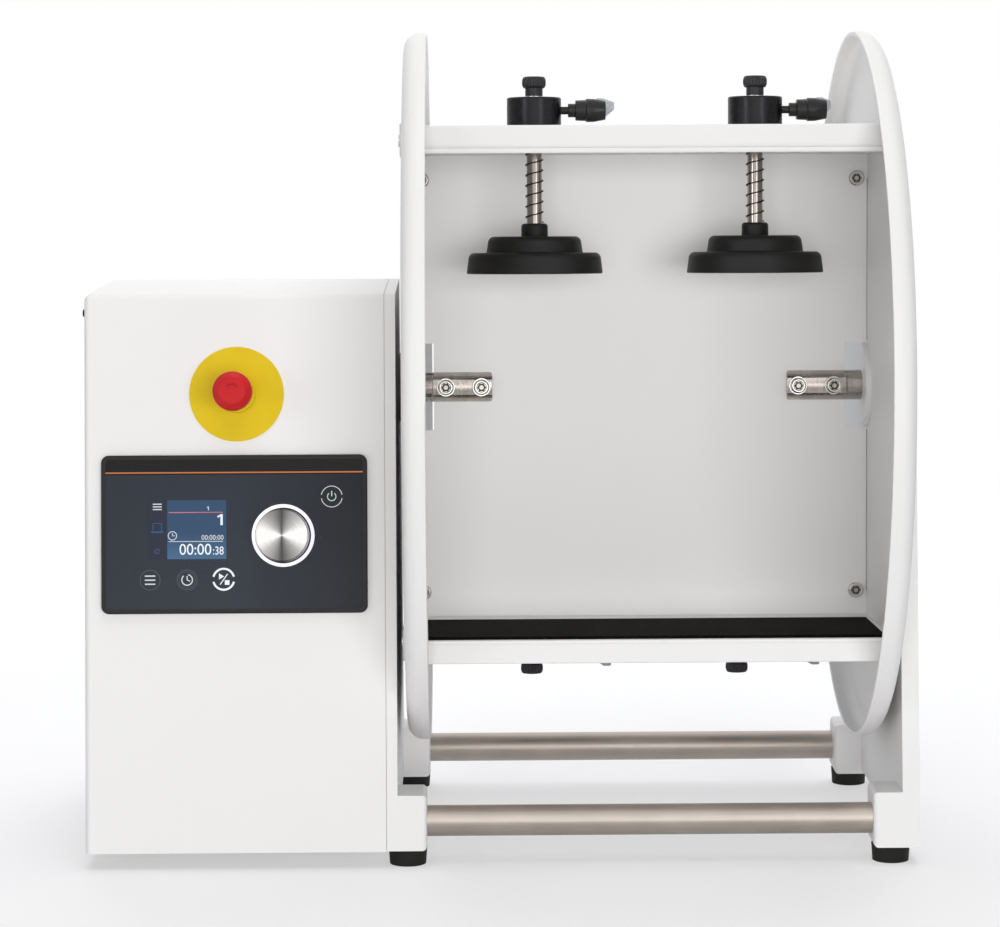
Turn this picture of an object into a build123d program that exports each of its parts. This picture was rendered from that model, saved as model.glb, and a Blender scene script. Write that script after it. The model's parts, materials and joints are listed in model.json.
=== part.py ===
from build123d import *
from math import atan2, cos, degrees, radians, sin
import os

# Overhead tube and bottle rotator: a cabinet and two side frames carry a turning cradle.
# All lengths are millimetres. X runs along the turning axis, Y to the back, Z up from the floor.

# ---- stand -------------------------------------------------------------------------------------
OVERALL_WIDTH = 536.7
AXIS_HEIGHT = 297.0
FRAME_TOP_HEIGHT = 365.0
FRAME_BASE_HEIGHT = 11.0
FRAME_TOP_HALF_DEPTH = 80.0
FRAME_BASE_HALF_DEPTH = 132.0
FRAME_THICKNESS = 11.0
FRAME_LIP_WIDTH = 7.2
LEFT_FRAME_INNER_X = -66.9
FOOT_BLOCK_TOP = 46.0
FOOT_BLOCK_DEPTH = 39.0
LEFT_BLOCK_WIDTH = 29.8
RIGHT_BLOCK_WIDTH = 29.75
FOOT_BLOCK_ROUND = 3.0
ARCH_RISE = 4.0
TUBE_DIAMETER = 20.0
TUBE_WALL = 2.0
TUBE_HALF_SPACING = 116.7
TUBE_HEIGHT = 27.5
TUBE_SEAT_DEPTH = 14.0
FOOT_DIAMETER = 25.0
FOOT_TAPER = 0.8
FOOT_PLUG_DIAMETER = 9.0
FOOT_PLUG_LENGTH = 6.0
CABINET_FOOT_DIAMETER = 20.0
CABINET_FOOT_INSET = 22.75
CABINET_FOOT_HALF_SPACING = 55.0
TUBE_SCREW_HEAD_DIAMETER = 13.0
TUBE_SCREW_HEAD_DEPTH = 4.0
TUBE_SCREW_SHANK_DIAMETER = 8.0
TUBE_SCREW_RECESS = 0.3

# ---- cabinet -----------------------------------------------------------------------------------
SIDE_SCREW_HEAD_HEIGHT = 1.5
SIDE_SCREW_HEAD_DIAMETER = 6.4
SIDE_SCREW_SHANK_DIAMETER = 4.0
SIDE_SCREW_SHANK_LENGTH = 6.0
SIDE_SCREW_FROM_TOP = 12.0
SIDE_SCREW_FROM_FLOOR = 40.0
SIDE_SCREW_FROM_EDGE = 9.0
LOW_SCREW_FROM_EDGE = 34.0
SIDE_SCREW_HEAD_TAPER = 1.2
SIDE_SCREW_TAB_HALF = 8.0
CABINET_WALL = 1.5
CABINET_EDGE_ROUND = 4.0
CABINET_LIP_CLEARANCE = 0.3
CABINET_BASE_HEIGHT = 10.6
BASE_PLATE_STEP = 1.0
BASE_PLATE_THICKNESS = 2.0
BASE_PLATE_CLEARANCE = 0.3
VENT_SLOT_WIDTH = 3.0
VENT_SLOT_LENGTH = 46.0
VENT_SLOT_PITCH = 8.0
VENT_SLOT_COUNT = 12
VENT_CENTRE_HEIGHT = 285.0

# ---- control panel, measured in its own leaning plane ------------------------------------------
PANEL_CENTRE_HEIGHT = 212.5
PANEL_WIDTH = 170.5
PANEL_HEIGHT = 101.6
PANEL_THICKNESS = 3.6
PANEL_CORNER = 5.0
GLASS_BORDER = 2.8
GLASS_THICKNESS = 1.2
GLASS_PROUD = -0.3
SCREEN_LEFT = -54.8
SCREEN_RIGHT = -5.2
SCREEN_BOTTOM = -15.8
SCREEN_TOP = 22.0
SCREEN_GAP = 0.05
PANEL_BACK_WINDOW_WIDTH = 150.0
PANEL_BACK_WINDOW_HEIGHT = 84.0
DIAL_OFFSET_X = 31.3
DIAL_OFFSET_UP = -1.0
DIAL_DIAMETER = 34.0
DIAL_BASE = 5.0
DIAL_TOP = 21.5
DIAL_EDGE_ROUND = 1.6
DIAL_BASE_BEVEL = 0.6
DIAL_TRAVEL = 0.6
LIGHT_RING_OUTER_DIAMETER = 40.2
LIGHT_RING_INNER_DIAMETER = 35.8
LIGHT_RING_TOP = 4.4
LIGHT_RING_SEAT = 1.6
DIAL_SHAFT_DIAMETER = 6.0
DIAL_SHAFT_DEPTH = 17.0
DIAL_SHAFT_END_GAP = 0.4
DIAL_SHAFT_SOCKET = 12.0
DIAL_HOLE_MARGIN = 2.0
RUNNING_CLEARANCE = 0.05
BOARD_WIDTH = 140.0
BOARD_HEIGHT = 76.0
BOARD_THICKNESS = 1.6
BOARD_SETBACK = 20.0
BOARD_PILLAR_DIAMETER = 6.0
BOARD_PILLAR_INSET = 5.0
DISPLAY_MODULE_THICKNESS = 3.0
ENCODER_WIDTH = 13.0
ENCODER_HEIGHT = 9.0

# ---- emergency stop ----------------------------------------------------------------------------
STOP_HEIGHT = 301.5
STOP_OFFSET_X = 1.6
STOP_LABEL_DIAMETER = 60.8
STOP_LABEL_THICKNESS = 0.8
STOP_COLLAR_DIAMETER = 24.0
STOP_COLLAR_HEIGHT = 5.0
STOP_BARREL_DIAMETER = 16.0
STOP_HOLE_CLEARANCE = 0.2
STOP_NUT_DIAMETER = 22.0
STOP_NUT_HEIGHT = 4.0
STOP_CONTACT_WIDTH = 22.0
STOP_CONTACT_TOP = -10.0
STOP_CONTACT_BOTTOM = -36.0
STOP_STEM_DIAMETER = 10.0
STOP_STEM_BOTTOM = -18.0
STOP_STEM_SOCKET = 20.0
STOP_BUTTON_BASE = 12.0
STOP_BUTTON_BASE_DIAMETER = 17.0
STOP_BUTTON_RIM = 34.0
STOP_BUTTON_DIAMETER = 25.0
STOP_BUTTON_TOP = 46.0
STOP_BUTTON_TRAVEL = 4.5

# ---- mains inlet on the back -------------------------------------------------------------------
INLET_OFFSET = -19.5
INLET_HEIGHT = 75.0
INLET_FLANGE_WIDTH = 62.0
INLET_FLANGE_HEIGHT = 31.0
INLET_FLANGE_THICKNESS = 2.5
INLET_BODY_WIDTH = 56.0
INLET_BODY_HEIGHT = 26.0
INLET_BODY_DEPTH = 22.0
SOCKET_OFFSET = -11.5
SOCKET_WIDTH = 24.0
SOCKET_HEIGHT = 17.0
SOCKET_DEPTH = 16.0
SOCKET_PIN_HEIGHT = 4.0
SOCKET_PIN_WIDTH = 2.0
SOCKET_PIN_LENGTH = 11.0
SOCKET_PIN_SPREAD = 7.0
ROCKER_OFFSET = 18.0
ROCKER_WIDTH = 11.0
ROCKER_LENGTH = 19.0
ROCKER_DEPTH = 7.0
ROCKER_PROUD = 1.6
ROCKER_CLEARANCE = 0.6
ROCKER_END_CLEARANCE = 1.4
ROCKER_TILT = 7.0
ROCKER_WELL_MARGIN = 3.0
ROCKER_AXLE_DIAMETER = 3.0
ROCKER_AXLE_ABOVE_FLOOR = 2.0
ROCKER_BASE_LIFT = 1.5

# ---- drive -------------------------------------------------------------------------------------
SHAFT_DIAMETER = 20.0
BUSH_OUTER_DIAMETER = 46.0
BUSH_BODY_DIAMETER = 34.0
BUSH_FLANGE_LENGTH = 5.1
RIGHT_BUSH_FLANGE_LENGTH = 6.0
BUSH_FLANGE_BEVEL = 0.8
BUSH_CAP_THICKNESS = 1.5
RIGHT_SHAFT_END_GAP = 3.0
DRIVEN_PULLEY_DIAMETER = 70.0
MOTOR_PULLEY_DIAMETER = 28.0
PULLEY_FLANGE_HEIGHT = 2.5
PULLEY_FLANGE_WIDTH = 1.5
BELT_WIDTH = 12.0
BELT_THICKNESS = 2.0
BELT_SIDE_GAP = 0.4
PULLEY_FROM_FRAME = 19.0
PULLEY_CENTRE_DISTANCE = 110.0
MOTOR_DIAMETER = 58.0
MOTOR_LENGTH = 72.0
GEARBOX_WIDTH = 60.0
GEARBOX_LENGTH = 34.0
MOTOR_SHAFT_DIAMETER = 8.0
BRACKET_THICKNESS = 4.0
BRACKET_WIDTH = 84.0
BRACKET_HEIGHT = 78.0
BRACKET_FROM_FRAME = 37.0
STANDOFF_DIAMETER = 10.0
STANDOFF_INSET = 7.0
MOTOR_NOSE_DIAMETER = 16.0
MOTOR_NOSE_PROUD = 2.0
MOTOR_SHAFT_SOCKET = 8.0
GEARBOX_ROUND = 6.0
SUPPLY_WIDTH = 98.0
SUPPLY_DEPTH = 72.0
SUPPLY_HEIGHT = 34.0
SUPPLY_OFFSET = 4.5
SUPPLY_Y = 30.0

# ---- cradle, drawn level about its own axis and then turned to its rest angle ------------------
CRADLE_TILT = 3.0
LEFT_DISC_GAP = 6.0
RIGHT_DISC_GAP = 6.95
DISC_RADIUS = 235.0
DISC_DEPTH = 15.0
DISC_WALL = 3.0
DISC_CORNER = 10.0
DISC_BOSS_DIAMETER = 56.0
DISC_BOSS_HEIGHT = 4.0
SHELF_FROM_RIM = 80.7
SHELF_THICKNESS = 15.0
SHELF_HALF_DEPTH = 140.0
SHELF_EDGE_ROUND = 3.0
SHELF_OUTER_ROUND = 1.0
MAT_THICKNESS = 2.0
MAT_END_INSET = 5.0
MAT_FROM_PANEL = 37.5
BACK_PANEL_THICKNESS = 3.0
NOTCH_WIDTH = 15.0
NOTCH_HEIGHT = 58.0
SHAFT_REACH = 54.0
SHAFT_REAR_CUT = 1.5
SHAFT_FRONT_FLAT = 7.0
SHAFT_FLAT_START = 40.0
SHAFT_SCREWS_FROM_WEB = 35.0
SHAFT_SCREW_PITCH = 23.8
SHAFT_SCREW_SHANK = 6.0
CAP_HEAD_DIAMETER = 10.0
CAP_HEAD_HEIGHT = 6.0
BACKING_STRIP_HEIGHT = 16.0
BACKING_STRIP_THICKNESS = 5.0
BACKING_STRIP_INSET = 2.0
PANEL_SCREW_FROM_SHELF = 16.3
PANEL_SCREW_FROM_WEB = 7.5
PANEL_SCREW_HEAD_HEIGHT = 3.5
PANEL_SCREW_SHANK = 5.0
ANGLE_LEG = 16.0
ANGLE_THICKNESS = 3.0
ANGLE_LENGTH = 24.0
FIXING_PLATE_LENGTH = 200.0
FIXING_PLATE_HEIGHT = 21.0
FIXING_PLATE_THICKNESS = 2.0
FIXING_PLATE_CORNER = 4.0
FIXING_SCREW_SPACING = 80.0
FIXING_SCREW_HEAD_DIAMETER = 8.0
FIXING_SCREW_HEAD_HEIGHT = 1.0
FIXING_SCREW_SHANK = 5.0
FIXING_SCREW_DEPTH = 14.0

# ---- bottle clamps -----------------------------------------------------------------------------
CLAMP_FROM_WEB = 81.35
CLAMP_OFFSET_Y = 72.0
CLAMP_TRAVEL = 42.0
BLOCK_DIAMETER = 35.0
BLOCK_HEIGHT = 20.0
BLOCK_EDGE_ROUND = 1.2
ROD_DIAMETER = 9.8
SHELF_HOLE_DIAMETER = 13.0
PAD_BELOW_SHELF = 54.3
PAD_UPPER_HEIGHT = 10.5
PAD_LOWER_HEIGHT = 13.5
PAD_BOTTOM_DIAMETER = 88.2
PAD_LOWER_DIAMETER = 84.8
PAD_STEP_DIAMETER = 62.2
PAD_UPPER_DIAMETER = 59.2
PAD_ROUND = 4.0
PAD_RIM = 6.0
PAD_RECESS = 2.0
PAD_SOCKET = 14.0
COLLAR_DIAMETER = 17.2
COLLAR_HEIGHT = 8.4
COLLAR_ROUND = 2.0
SPRING_WIRE = 0.7
SPRING_ROD_GAP = 0.3
SPRING_PITCH = 6.8
SPRING_END_GAP = 0.15
KNOB_GAP = 1.0
KNOB_NECK_DIAMETER = 11.3
KNOB_NECK_HEIGHT = 5.0
KNOB_HEAD_DIAMETER = 15.4
KNOB_HEAD_HEIGHT = 7.2
KNOB_SPIGOT_DIAMETER = 6.0
KNOB_SPIGOT_LENGTH = 8.0
KNOB_EDGE_ROUND = 1.4
LEVER_HEIGHT = 11.6
LEVER_UPPER_REST = 4.0
LEVER_LOWER_REST = 11.0
LEVER_SCREW_DIAMETER = 5.0
LEVER_SCREW_SHOWN = 4.4
LEVER_SCREW_DEPTH = 8.0
LEVER_NECK_DIAMETER = 9.0
LEVER_NECK_LENGTH = 4.7
LEVER_HUB_DIAMETER = 14.6
LEVER_HUB_LENGTH = 19.5
LEVER_ARM_LENGTH = 42.0
LEVER_ARM_FLARE = 12.0
LEVER_ARM_ROOT_WIDTH = 12.0
LEVER_ARM_TIP_WIDTH = 6.6
LEVER_ARM_THICKNESS = 6.0
LEVER_TIP_ROUND = 2.4
LEVER_EDGE_ROUND = 1.5

# ---- derived positions -------------------------------------------------------------------------
HALF_WIDTH = OVERALL_WIDTH / 2
CABINET_LEFT_X = -HALF_WIDTH + SIDE_SCREW_HEAD_HEIGHT
RIGHT_FRAME_INNER_X = HALF_WIDTH - FRAME_THICKNESS
LEFT_FRAME_OUTER_X = LEFT_FRAME_INNER_X - FRAME_THICKNESS
LEFT_BLOCK_INNER_X = LEFT_FRAME_OUTER_X + LEFT_BLOCK_WIDTH
RIGHT_BLOCK_INNER_X = HALF_WIDTH - RIGHT_BLOCK_WIDTH
LEAN = atan2(FRAME_BASE_HALF_DEPTH - FRAME_TOP_HALF_DEPTH, FRAME_TOP_HEIGHT - FRAME_BASE_HEIGHT)
CABINET_RIGHT_X = LEFT_FRAME_INNER_X - FRAME_LIP_WIDTH
CABINET_CENTRE_X = (CABINET_LEFT_X + CABINET_RIGHT_X) / 2
CABINET_FOOT_X = CABINET_LEFT_X + CABINET_FOOT_INSET
SIDE_SCREW_PLACES = (
    (FRAME_TOP_HEIGHT - SIDE_SCREW_FROM_TOP, SIDE_SCREW_FROM_EDGE),
    (SIDE_SCREW_FROM_FLOOR, LOW_SCREW_FROM_EDGE),
)
INLET_X = CABINET_CENTRE_X + INLET_OFFSET
SUPPLY_X = CABINET_CENTRE_X + SUPPLY_OFFSET
PULLEY_X = LEFT_FRAME_OUTER_X - PULLEY_FROM_FRAME
BRACKET_X = LEFT_FRAME_OUTER_X - BRACKET_FROM_FRAME
CRADLE_LEFT_X = LEFT_FRAME_INNER_X + LEFT_DISC_GAP
CRADLE_RIGHT_X = RIGHT_FRAME_INNER_X - RIGHT_DISC_GAP
CRADLE_CENTRE_X = (CRADLE_LEFT_X + CRADLE_RIGHT_X) / 2
DISC_OUTER_HALF_SPAN = (CRADLE_RIGHT_X - CRADLE_LEFT_X) / 2
WEB_HALF_SPAN = DISC_OUTER_HALF_SPAN - DISC_WALL
SHAFT_INNER_HALF_SPAN = WEB_HALF_SPAN - SHAFT_REACH
SHAFT_SCREW_SPAN = WEB_HALF_SPAN - SHAFT_SCREWS_FROM_WEB
CLAMP_HALF_PITCH_X = WEB_HALF_SPAN - CLAMP_FROM_WEB
SHELF_INNER_HEIGHT = DISC_RADIUS - SHELF_FROM_RIM
PANEL_SCREW_HEIGHT = SHELF_INNER_HEIGHT - PANEL_SCREW_FROM_SHELF
PAD_TOP = SHELF_INNER_HEIGHT - PAD_BELOW_SHELF
PAD_STEP = PAD_TOP - PAD_UPPER_HEIGHT
PAD_BOTTOM = PAD_STEP - PAD_LOWER_HEIGHT
COLLAR_TOP = PAD_TOP + COLLAR_HEIGHT
SHELF_OUTER_HEIGHT = SHELF_INNER_HEIGHT + SHELF_THICKNESS
BLOCK_TOP = SHELF_OUTER_HEIGHT + BLOCK_HEIGHT
KNOB_NECK_BOTTOM = BLOCK_TOP + KNOB_GAP
KNOB_HEAD_BOTTOM = KNOB_NECK_BOTTOM + KNOB_NECK_HEIGHT
KNOB_TOP = KNOB_HEAD_BOTTOM + KNOB_HEAD_HEIGHT
SPRING_MEAN_RADIUS = ROD_DIAMETER / 2 + SPRING_ROD_GAP + SPRING_WIRE / 2
PULLEY_WIDTH = BELT_WIDTH + 2 * BELT_SIDE_GAP + 2 * PULLEY_FLANGE_WIDTH
MOTOR_AXIS_HEIGHT = AXIS_HEIGHT - PULLEY_CENTRE_DISTANCE


def half_depth_at(height):
    """Half depth of the leaning outline at one height above the floor."""
    share = (FRAME_TOP_HEIGHT - height) / (FRAME_TOP_HEIGHT - FRAME_BASE_HEIGHT)
    return FRAME_TOP_HALF_DEPTH + share * (FRAME_BASE_HALF_DEPTH - FRAME_TOP_HALF_DEPTH)


def slab(x_low, x_high, y_low, y_high, z_low, z_high):
    """Box between three pairs of limits."""
    size = Box(x_high - x_low, y_high - y_low, z_high - z_low)
    return Pos((x_low + x_high) / 2, (y_low + y_high) / 2, (z_low + z_high) / 2) * size


def rod_x(diameter, x_low, x_high, y=0.0, z=0.0):
    """Cylinder lying along X."""
    bar = Rot(0, 90, 0) * Cylinder(diameter / 2, x_high - x_low)
    return Pos((x_low + x_high) / 2, y, z) * bar


def rod_y(diameter, y_low, y_high, x=0.0, z=0.0):
    """Cylinder lying along Y."""
    bar = Rot(90, 0, 0) * Cylinder(diameter / 2, y_high - y_low)
    return Pos(x, (y_low + y_high) / 2, z) * bar


def rod_z(diameter, z_low, z_high, x=0.0, y=0.0):
    """Cylinder standing along Z."""
    return Pos(x, y, (z_low + z_high) / 2) * Cylinder(diameter / 2, z_high - z_low)


def turned(points, rounds=()):
    """Solid turned about Z from (radius, height) points; rounds are (radius, height, fillet)."""
    face = make_face(Polyline(*points, close=True))
    for radius, height, size in rounds:
        corner = face.vertices().sort_by_distance((radius, height, 0))[0]
        face = fillet(corner, size)
    return Rot(90, 0, 0) * revolve(face, Axis.Y)


def prism_x(points, x_low, x_high):
    """Solid with a (y, z) outline, running along X."""
    face = make_face(Polyline(*points, close=True))
    return Pos(x_low, 0, 0) * Plane.YZ.location * extrude(face, x_high - x_low)


def side_outline(inset, low, high):
    """Leaning outline of the stand between two heights, drawn in by an inset."""
    shift = inset / cos(LEAN)
    top = half_depth_at(high) - shift
    base = half_depth_at(low) - shift
    return [(-base, low), (base, low), (top, high), (-top, high)]


def front_plane(x, height):
    """Plane on the leaning cabinet front, its Z pointing out."""
    origin = (x, -half_depth_at(height), height)
    return Plane(origin=origin, x_dir=(1, 0, 0), z_dir=(0, -cos(LEAN), sin(LEAN)))


def back_plane(x, height):
    """Plane on the leaning cabinet back, its Z pointing out."""
    origin = (x, half_depth_at(height), height)
    return Plane(origin=origin, x_dir=(-1, 0, 0), z_dir=(0, cos(LEAN), sin(LEAN)))


def in_cradle(shape):
    """Carries a shape drawn level about the turning axis to the cradle's rest angle."""
    return Pos(CRADLE_CENTRE_X, 0, AXIS_HEIGHT) * Rot(-CRADLE_TILT, 0, 0) * shape


def both_ends(shape):
    """A shape at the +X end of the cradle together with its mirror image at the -X end."""
    return [shape, mirror(shape, Plane.YZ)]


def half_turn(shape):
    """The same shape on the opposite station, half a turn about the axis."""
    return Rot(180, 0, 0) * shape


def save(name, *shapes):
    """Writes one piece, or one group of alike pieces, to its own file."""
    solids = [solid for shape in shapes for solid in shape.solids()]
    node = solids[0] if len(solids) == 1 else Compound(children=solids)
    node.label = name
    export_step(node, "parts/" + name + ".step")


# ---- side frames -------------------------------------------------------------------------------
def foot_block(x_low, x_high, side):
    """Rounded block at one bottom corner of a side frame."""
    outer = half_depth_at(FRAME_BASE_HEIGHT)
    inner = outer - FOOT_BLOCK_DEPTH
    top = half_depth_at(FOOT_BLOCK_TOP)
    points = [(inner, FRAME_BASE_HEIGHT), (outer, FRAME_BASE_HEIGHT)]
    points += [(top, FOOT_BLOCK_TOP), (inner, FOOT_BLOCK_TOP)]
    block = prism_x([(side * y, z) for y, z in points], x_low, x_high)
    return block


def side_frame(plate_low, plate_high, block_inner, bush_diameter, seat_low, seat_high):
    """Plate with its two foot blocks, the bearing bore, tube seats and screw holes."""
    plate = prism_x(side_outline(0, FRAME_BASE_HEIGHT, FRAME_TOP_HEIGHT), plate_low, plate_high)
    plate = fillet(plate.edges().filter_by(Axis.X).group_by(Axis.Z)[-1], CABINET_EDGE_ROUND)
    inner = FRAME_BASE_HALF_DEPTH - FOOT_BLOCK_DEPTH
    arch = slab(plate_low - 1, plate_high + 1, -inner, inner, 0, FRAME_BASE_HEIGHT + ARCH_RISE)
    plate -= arch
    block_low = min(plate_low, block_inner)
    block_high = max(plate_high, block_inner)
    frame = plate
    for side in (-1, 1):
        block = foot_block(block_low, block_high, side)
        free = block.faces().sort_by(Axis.X)[0 if block_inner < plate_low else -1]
        block = fillet(free.edges(), FOOT_BLOCK_ROUND)
        frame += block
    frame -= rod_x(bush_diameter, plate_low - 1, plate_high + 1, 0, AXIS_HEIGHT)
    for side in (-1, 1):
        seat = rod_x(TUBE_DIAMETER, seat_low, seat_high, side * TUBE_HALF_SPACING, TUBE_HEIGHT)
        frame -= seat
    return frame


def tube_screw(head_x, direction):
    """Countersunk screw on the X axis; direction is the way its point faces."""
    head = turned(
        [
            (0, 0),
            (TUBE_SCREW_HEAD_DIAMETER / 2, 0),
            (TUBE_SCREW_SHANK_DIAMETER / 2, TUBE_SCREW_HEAD_DEPTH),
            (TUBE_SCREW_SHANK_DIAMETER / 2, 2.5 * TUBE_SCREW_HEAD_DEPTH),
            (0, 2.5 * TUBE_SCREW_HEAD_DEPTH),
        ]
    )
    return Pos(head_x, 0, 0) * Rot(0, 90 * direction, 0) * head


bush_bore = BUSH_BODY_DIAMETER
left_seat = (LEFT_BLOCK_INNER_X - TUBE_SEAT_DEPTH, LEFT_BLOCK_INNER_X + 1)
right_seat = (RIGHT_BLOCK_INNER_X - 1, RIGHT_BLOCK_INNER_X + TUBE_SEAT_DEPTH)
left_faces = (LEFT_FRAME_OUTER_X, LEFT_FRAME_INNER_X, LEFT_BLOCK_INNER_X)
right_faces = (RIGHT_FRAME_INNER_X, HALF_WIDTH, RIGHT_BLOCK_INNER_X)
left_frame = side_frame(*left_faces, bush_bore, *left_seat)
right_frame = side_frame(*right_faces, bush_bore, *right_seat)

# The cabinet shell laps over a step round the left frame.
lip_inset = CABINET_WALL + CABINET_LIP_CLEARANCE
lip_x = CABINET_RIGHT_X + CABINET_LIP_CLEARANCE
keep = prism_x(side_outline(lip_inset, 0, FRAME_TOP_HEIGHT - lip_inset), LEFT_FRAME_OUTER_X - 1, lip_x)
keep = fillet(keep.edges().filter_by(Axis.X).group_by(Axis.Z)[-1], CABINET_EDGE_ROUND - CABINET_WALL)
step_reach = FRAME_BASE_HALF_DEPTH + 1
step = slab(LEFT_FRAME_OUTER_X - 1, lip_x, -step_reach, step_reach, -1, FRAME_TOP_HEIGHT + 1) - keep
left_frame -= step

screws = []
left_screw_face = LEFT_FRAME_OUTER_X + TUBE_SCREW_RECESS
right_screw_face = HALF_WIDTH - TUBE_SCREW_RECESS
for side in (-1, 1):
    place = Pos(0, side * TUBE_HALF_SPACING, TUBE_HEIGHT)
    left_screw = place * tube_screw(left_screw_face, 1)
    right_screw = place * tube_screw(right_screw_face, -1)
    left_frame -= left_screw
    left_frame -= place * rod_x(TUBE_SCREW_HEAD_DIAMETER, LEFT_FRAME_OUTER_X - 1, left_screw_face)
    right_frame -= right_screw
    right_frame -= place * rod_x(TUBE_SCREW_HEAD_DIAMETER, right_screw_face, HALF_WIDTH + 1)
    screws += [left_screw, right_screw]

# ---- tie tubes ---------------------------------------------------------------------------------
tubes = []
for side in (-1, 1):
    low = LEFT_BLOCK_INNER_X - TUBE_SEAT_DEPTH
    high = RIGHT_BLOCK_INNER_X + TUBE_SEAT_DEPTH
    tube = rod_x(TUBE_DIAMETER, low, high, side * TUBE_HALF_SPACING, TUBE_HEIGHT)
    tube_bore = TUBE_DIAMETER - 2 * TUBE_WALL
    tube -= rod_x(tube_bore, low - 1, high + 1, side * TUBE_HALF_SPACING, TUBE_HEIGHT)
    tubes.append(tube)

# ---- feet --------------------------------------------------------------------------------------
def foot(x, y, diameter, height):
    """Round rubber foot with a plug that goes up into its carrier."""
    radius = diameter / 2
    plug = FOOT_PLUG_DIAMETER / 2
    points = [(0, 0), (radius - FOOT_TAPER, 0), (radius, height), (plug, height)]
    points += [(plug, height + FOOT_PLUG_LENGTH), (0, height + FOOT_PLUG_LENGTH)]
    return Pos(x, y, 0) * turned(points)


feet = []
for side in (-1, 1):
    y = side * TUBE_HALF_SPACING
    feet.append(foot(LEFT_BLOCK_INNER_X - FOOT_DIAMETER / 2, y, FOOT_DIAMETER, FRAME_BASE_HEIGHT))
    feet.append(foot(RIGHT_BLOCK_INNER_X + FOOT_DIAMETER / 2, y, FOOT_DIAMETER, FRAME_BASE_HEIGHT))
left_frame -= feet[0]
left_frame -= feet[2]
right_frame -= feet[1]
right_frame -= feet[3]

# ---- cabinet shell -----------------------------------------------------------------------------
shell = prism_x(side_outline(0, CABINET_BASE_HEIGHT, FRAME_TOP_HEIGHT), CABINET_LEFT_X, CABINET_RIGHT_X)
long_edges = shell.edges().filter_by(Axis.X).group_by(Axis.Z)[-1]
end_edges = shell.faces().sort_by(Axis.X)[0].edges()
end_edges = [edge for edge in end_edges if edge.center().Z > CABINET_BASE_HEIGHT + 1]
shell = fillet([*long_edges, *end_edges], CABINET_EDGE_ROUND)
hollow = side_outline(CABINET_WALL, 0, FRAME_TOP_HEIGHT - CABINET_WALL)
hollow = prism_x(hollow, CABINET_LEFT_X + CABINET_WALL, CABINET_RIGHT_X + 1)
inner_round = CABINET_EDGE_ROUND - CABINET_WALL
hollow = fillet(hollow.edges().filter_by(Axis.X).group_by(Axis.Z)[-1], inner_round)
shell -= hollow
panel_plane = front_plane(CABINET_CENTRE_X, PANEL_CENTRE_HEIGHT)
stop_plane = front_plane(CABINET_CENTRE_X + STOP_OFFSET_X, STOP_HEIGHT)
inlet_plane = back_plane(INLET_X, INLET_HEIGHT)
vent_plane = back_plane(CABINET_CENTRE_X, VENT_CENTRE_HEIGHT)
shell -= panel_plane.location * Box(PANEL_BACK_WINDOW_WIDTH, PANEL_BACK_WINDOW_HEIGHT, 10)
shell -= stop_plane.location * Cylinder(STOP_BARREL_DIAMETER / 2, 10)
shell -= inlet_plane.location * Box(INLET_BODY_WIDTH, INLET_BODY_HEIGHT, 10)
slot = extrude(SlotOverall(VENT_SLOT_LENGTH, VENT_SLOT_WIDTH, rotation=90), 10)
for index in range(VENT_SLOT_COUNT):
    shift = (index - (VENT_SLOT_COUNT - 1) / 2) * VENT_SLOT_PITCH
    shell -= vent_plane.location * Pos(shift, 0, -5) * slot

# Screws with rounded heads hold the shell to brackets on the base plate and the frame.
side_screws = []
for side in (-1, 1):
    for height, inset in SIDE_SCREW_PLACES:
        y = side * (half_depth_at(height) - inset)
        head = turned(
            [
                (0, 0),
                (SIDE_SCREW_HEAD_DIAMETER / 2, 0),
                (SIDE_SCREW_HEAD_DIAMETER / 2 - SIDE_SCREW_HEAD_TAPER, SIDE_SCREW_HEAD_HEIGHT),
                (0, SIDE_SCREW_HEAD_HEIGHT),
            ]
        )
        head += rod_z(SIDE_SCREW_SHANK_DIAMETER, -SIDE_SCREW_SHANK_LENGTH, 0)
        screw = Pos(CABINET_LEFT_X, y, height) * Rot(0, -90, 0) * head
        side_screws.append(screw)
        hole_end = CABINET_LEFT_X + 2 * CABINET_WALL
        shell -= rod_x(SIDE_SCREW_SHANK_DIAMETER, CABINET_LEFT_X - 1, hole_end, y, height)

base_inset = CABINET_WALL + BASE_PLATE_CLEARANCE
base_low = CABINET_BASE_HEIGHT + BASE_PLATE_STEP
base_high = base_low + BASE_PLATE_THICKNESS
base_half = half_depth_at(base_low) - base_inset / cos(LEAN) - BASE_PLATE_THICKNESS * sin(LEAN)
base_left = CABINET_LEFT_X + base_inset
base_plate = slab(base_left, LEFT_FRAME_OUTER_X, -base_half, base_half, base_low, base_high)
for side in (-1, 1):
    foot_y = side * CABINET_FOOT_HALF_SPACING
    small = foot(CABINET_FOOT_X, foot_y, CABINET_FOOT_DIAMETER, base_low)
    base_plate -= small
    feet.append(small)
    # Angle tabs that the lower side screws reach.
    y = side * (half_depth_at(SIDE_SCREW_FROM_FLOOR) - LOW_SCREW_FROM_EDGE)
    tab_end = base_left + BASE_PLATE_THICKNESS
    tab_top = SIDE_SCREW_FROM_FLOOR + SIDE_SCREW_TAB_HALF
    tab_low, tab_high = y - SIDE_SCREW_TAB_HALF, y + SIDE_SCREW_TAB_HALF
    tab = slab(base_left, tab_end, tab_low, tab_high, base_low, tab_top)
    tab_hole = rod_x(SIDE_SCREW_SHANK_DIAMETER, CABINET_LEFT_X, tab_end + 1, y, SIDE_SCREW_FROM_FLOOR)
    base_plate += tab - tab_hole

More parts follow.
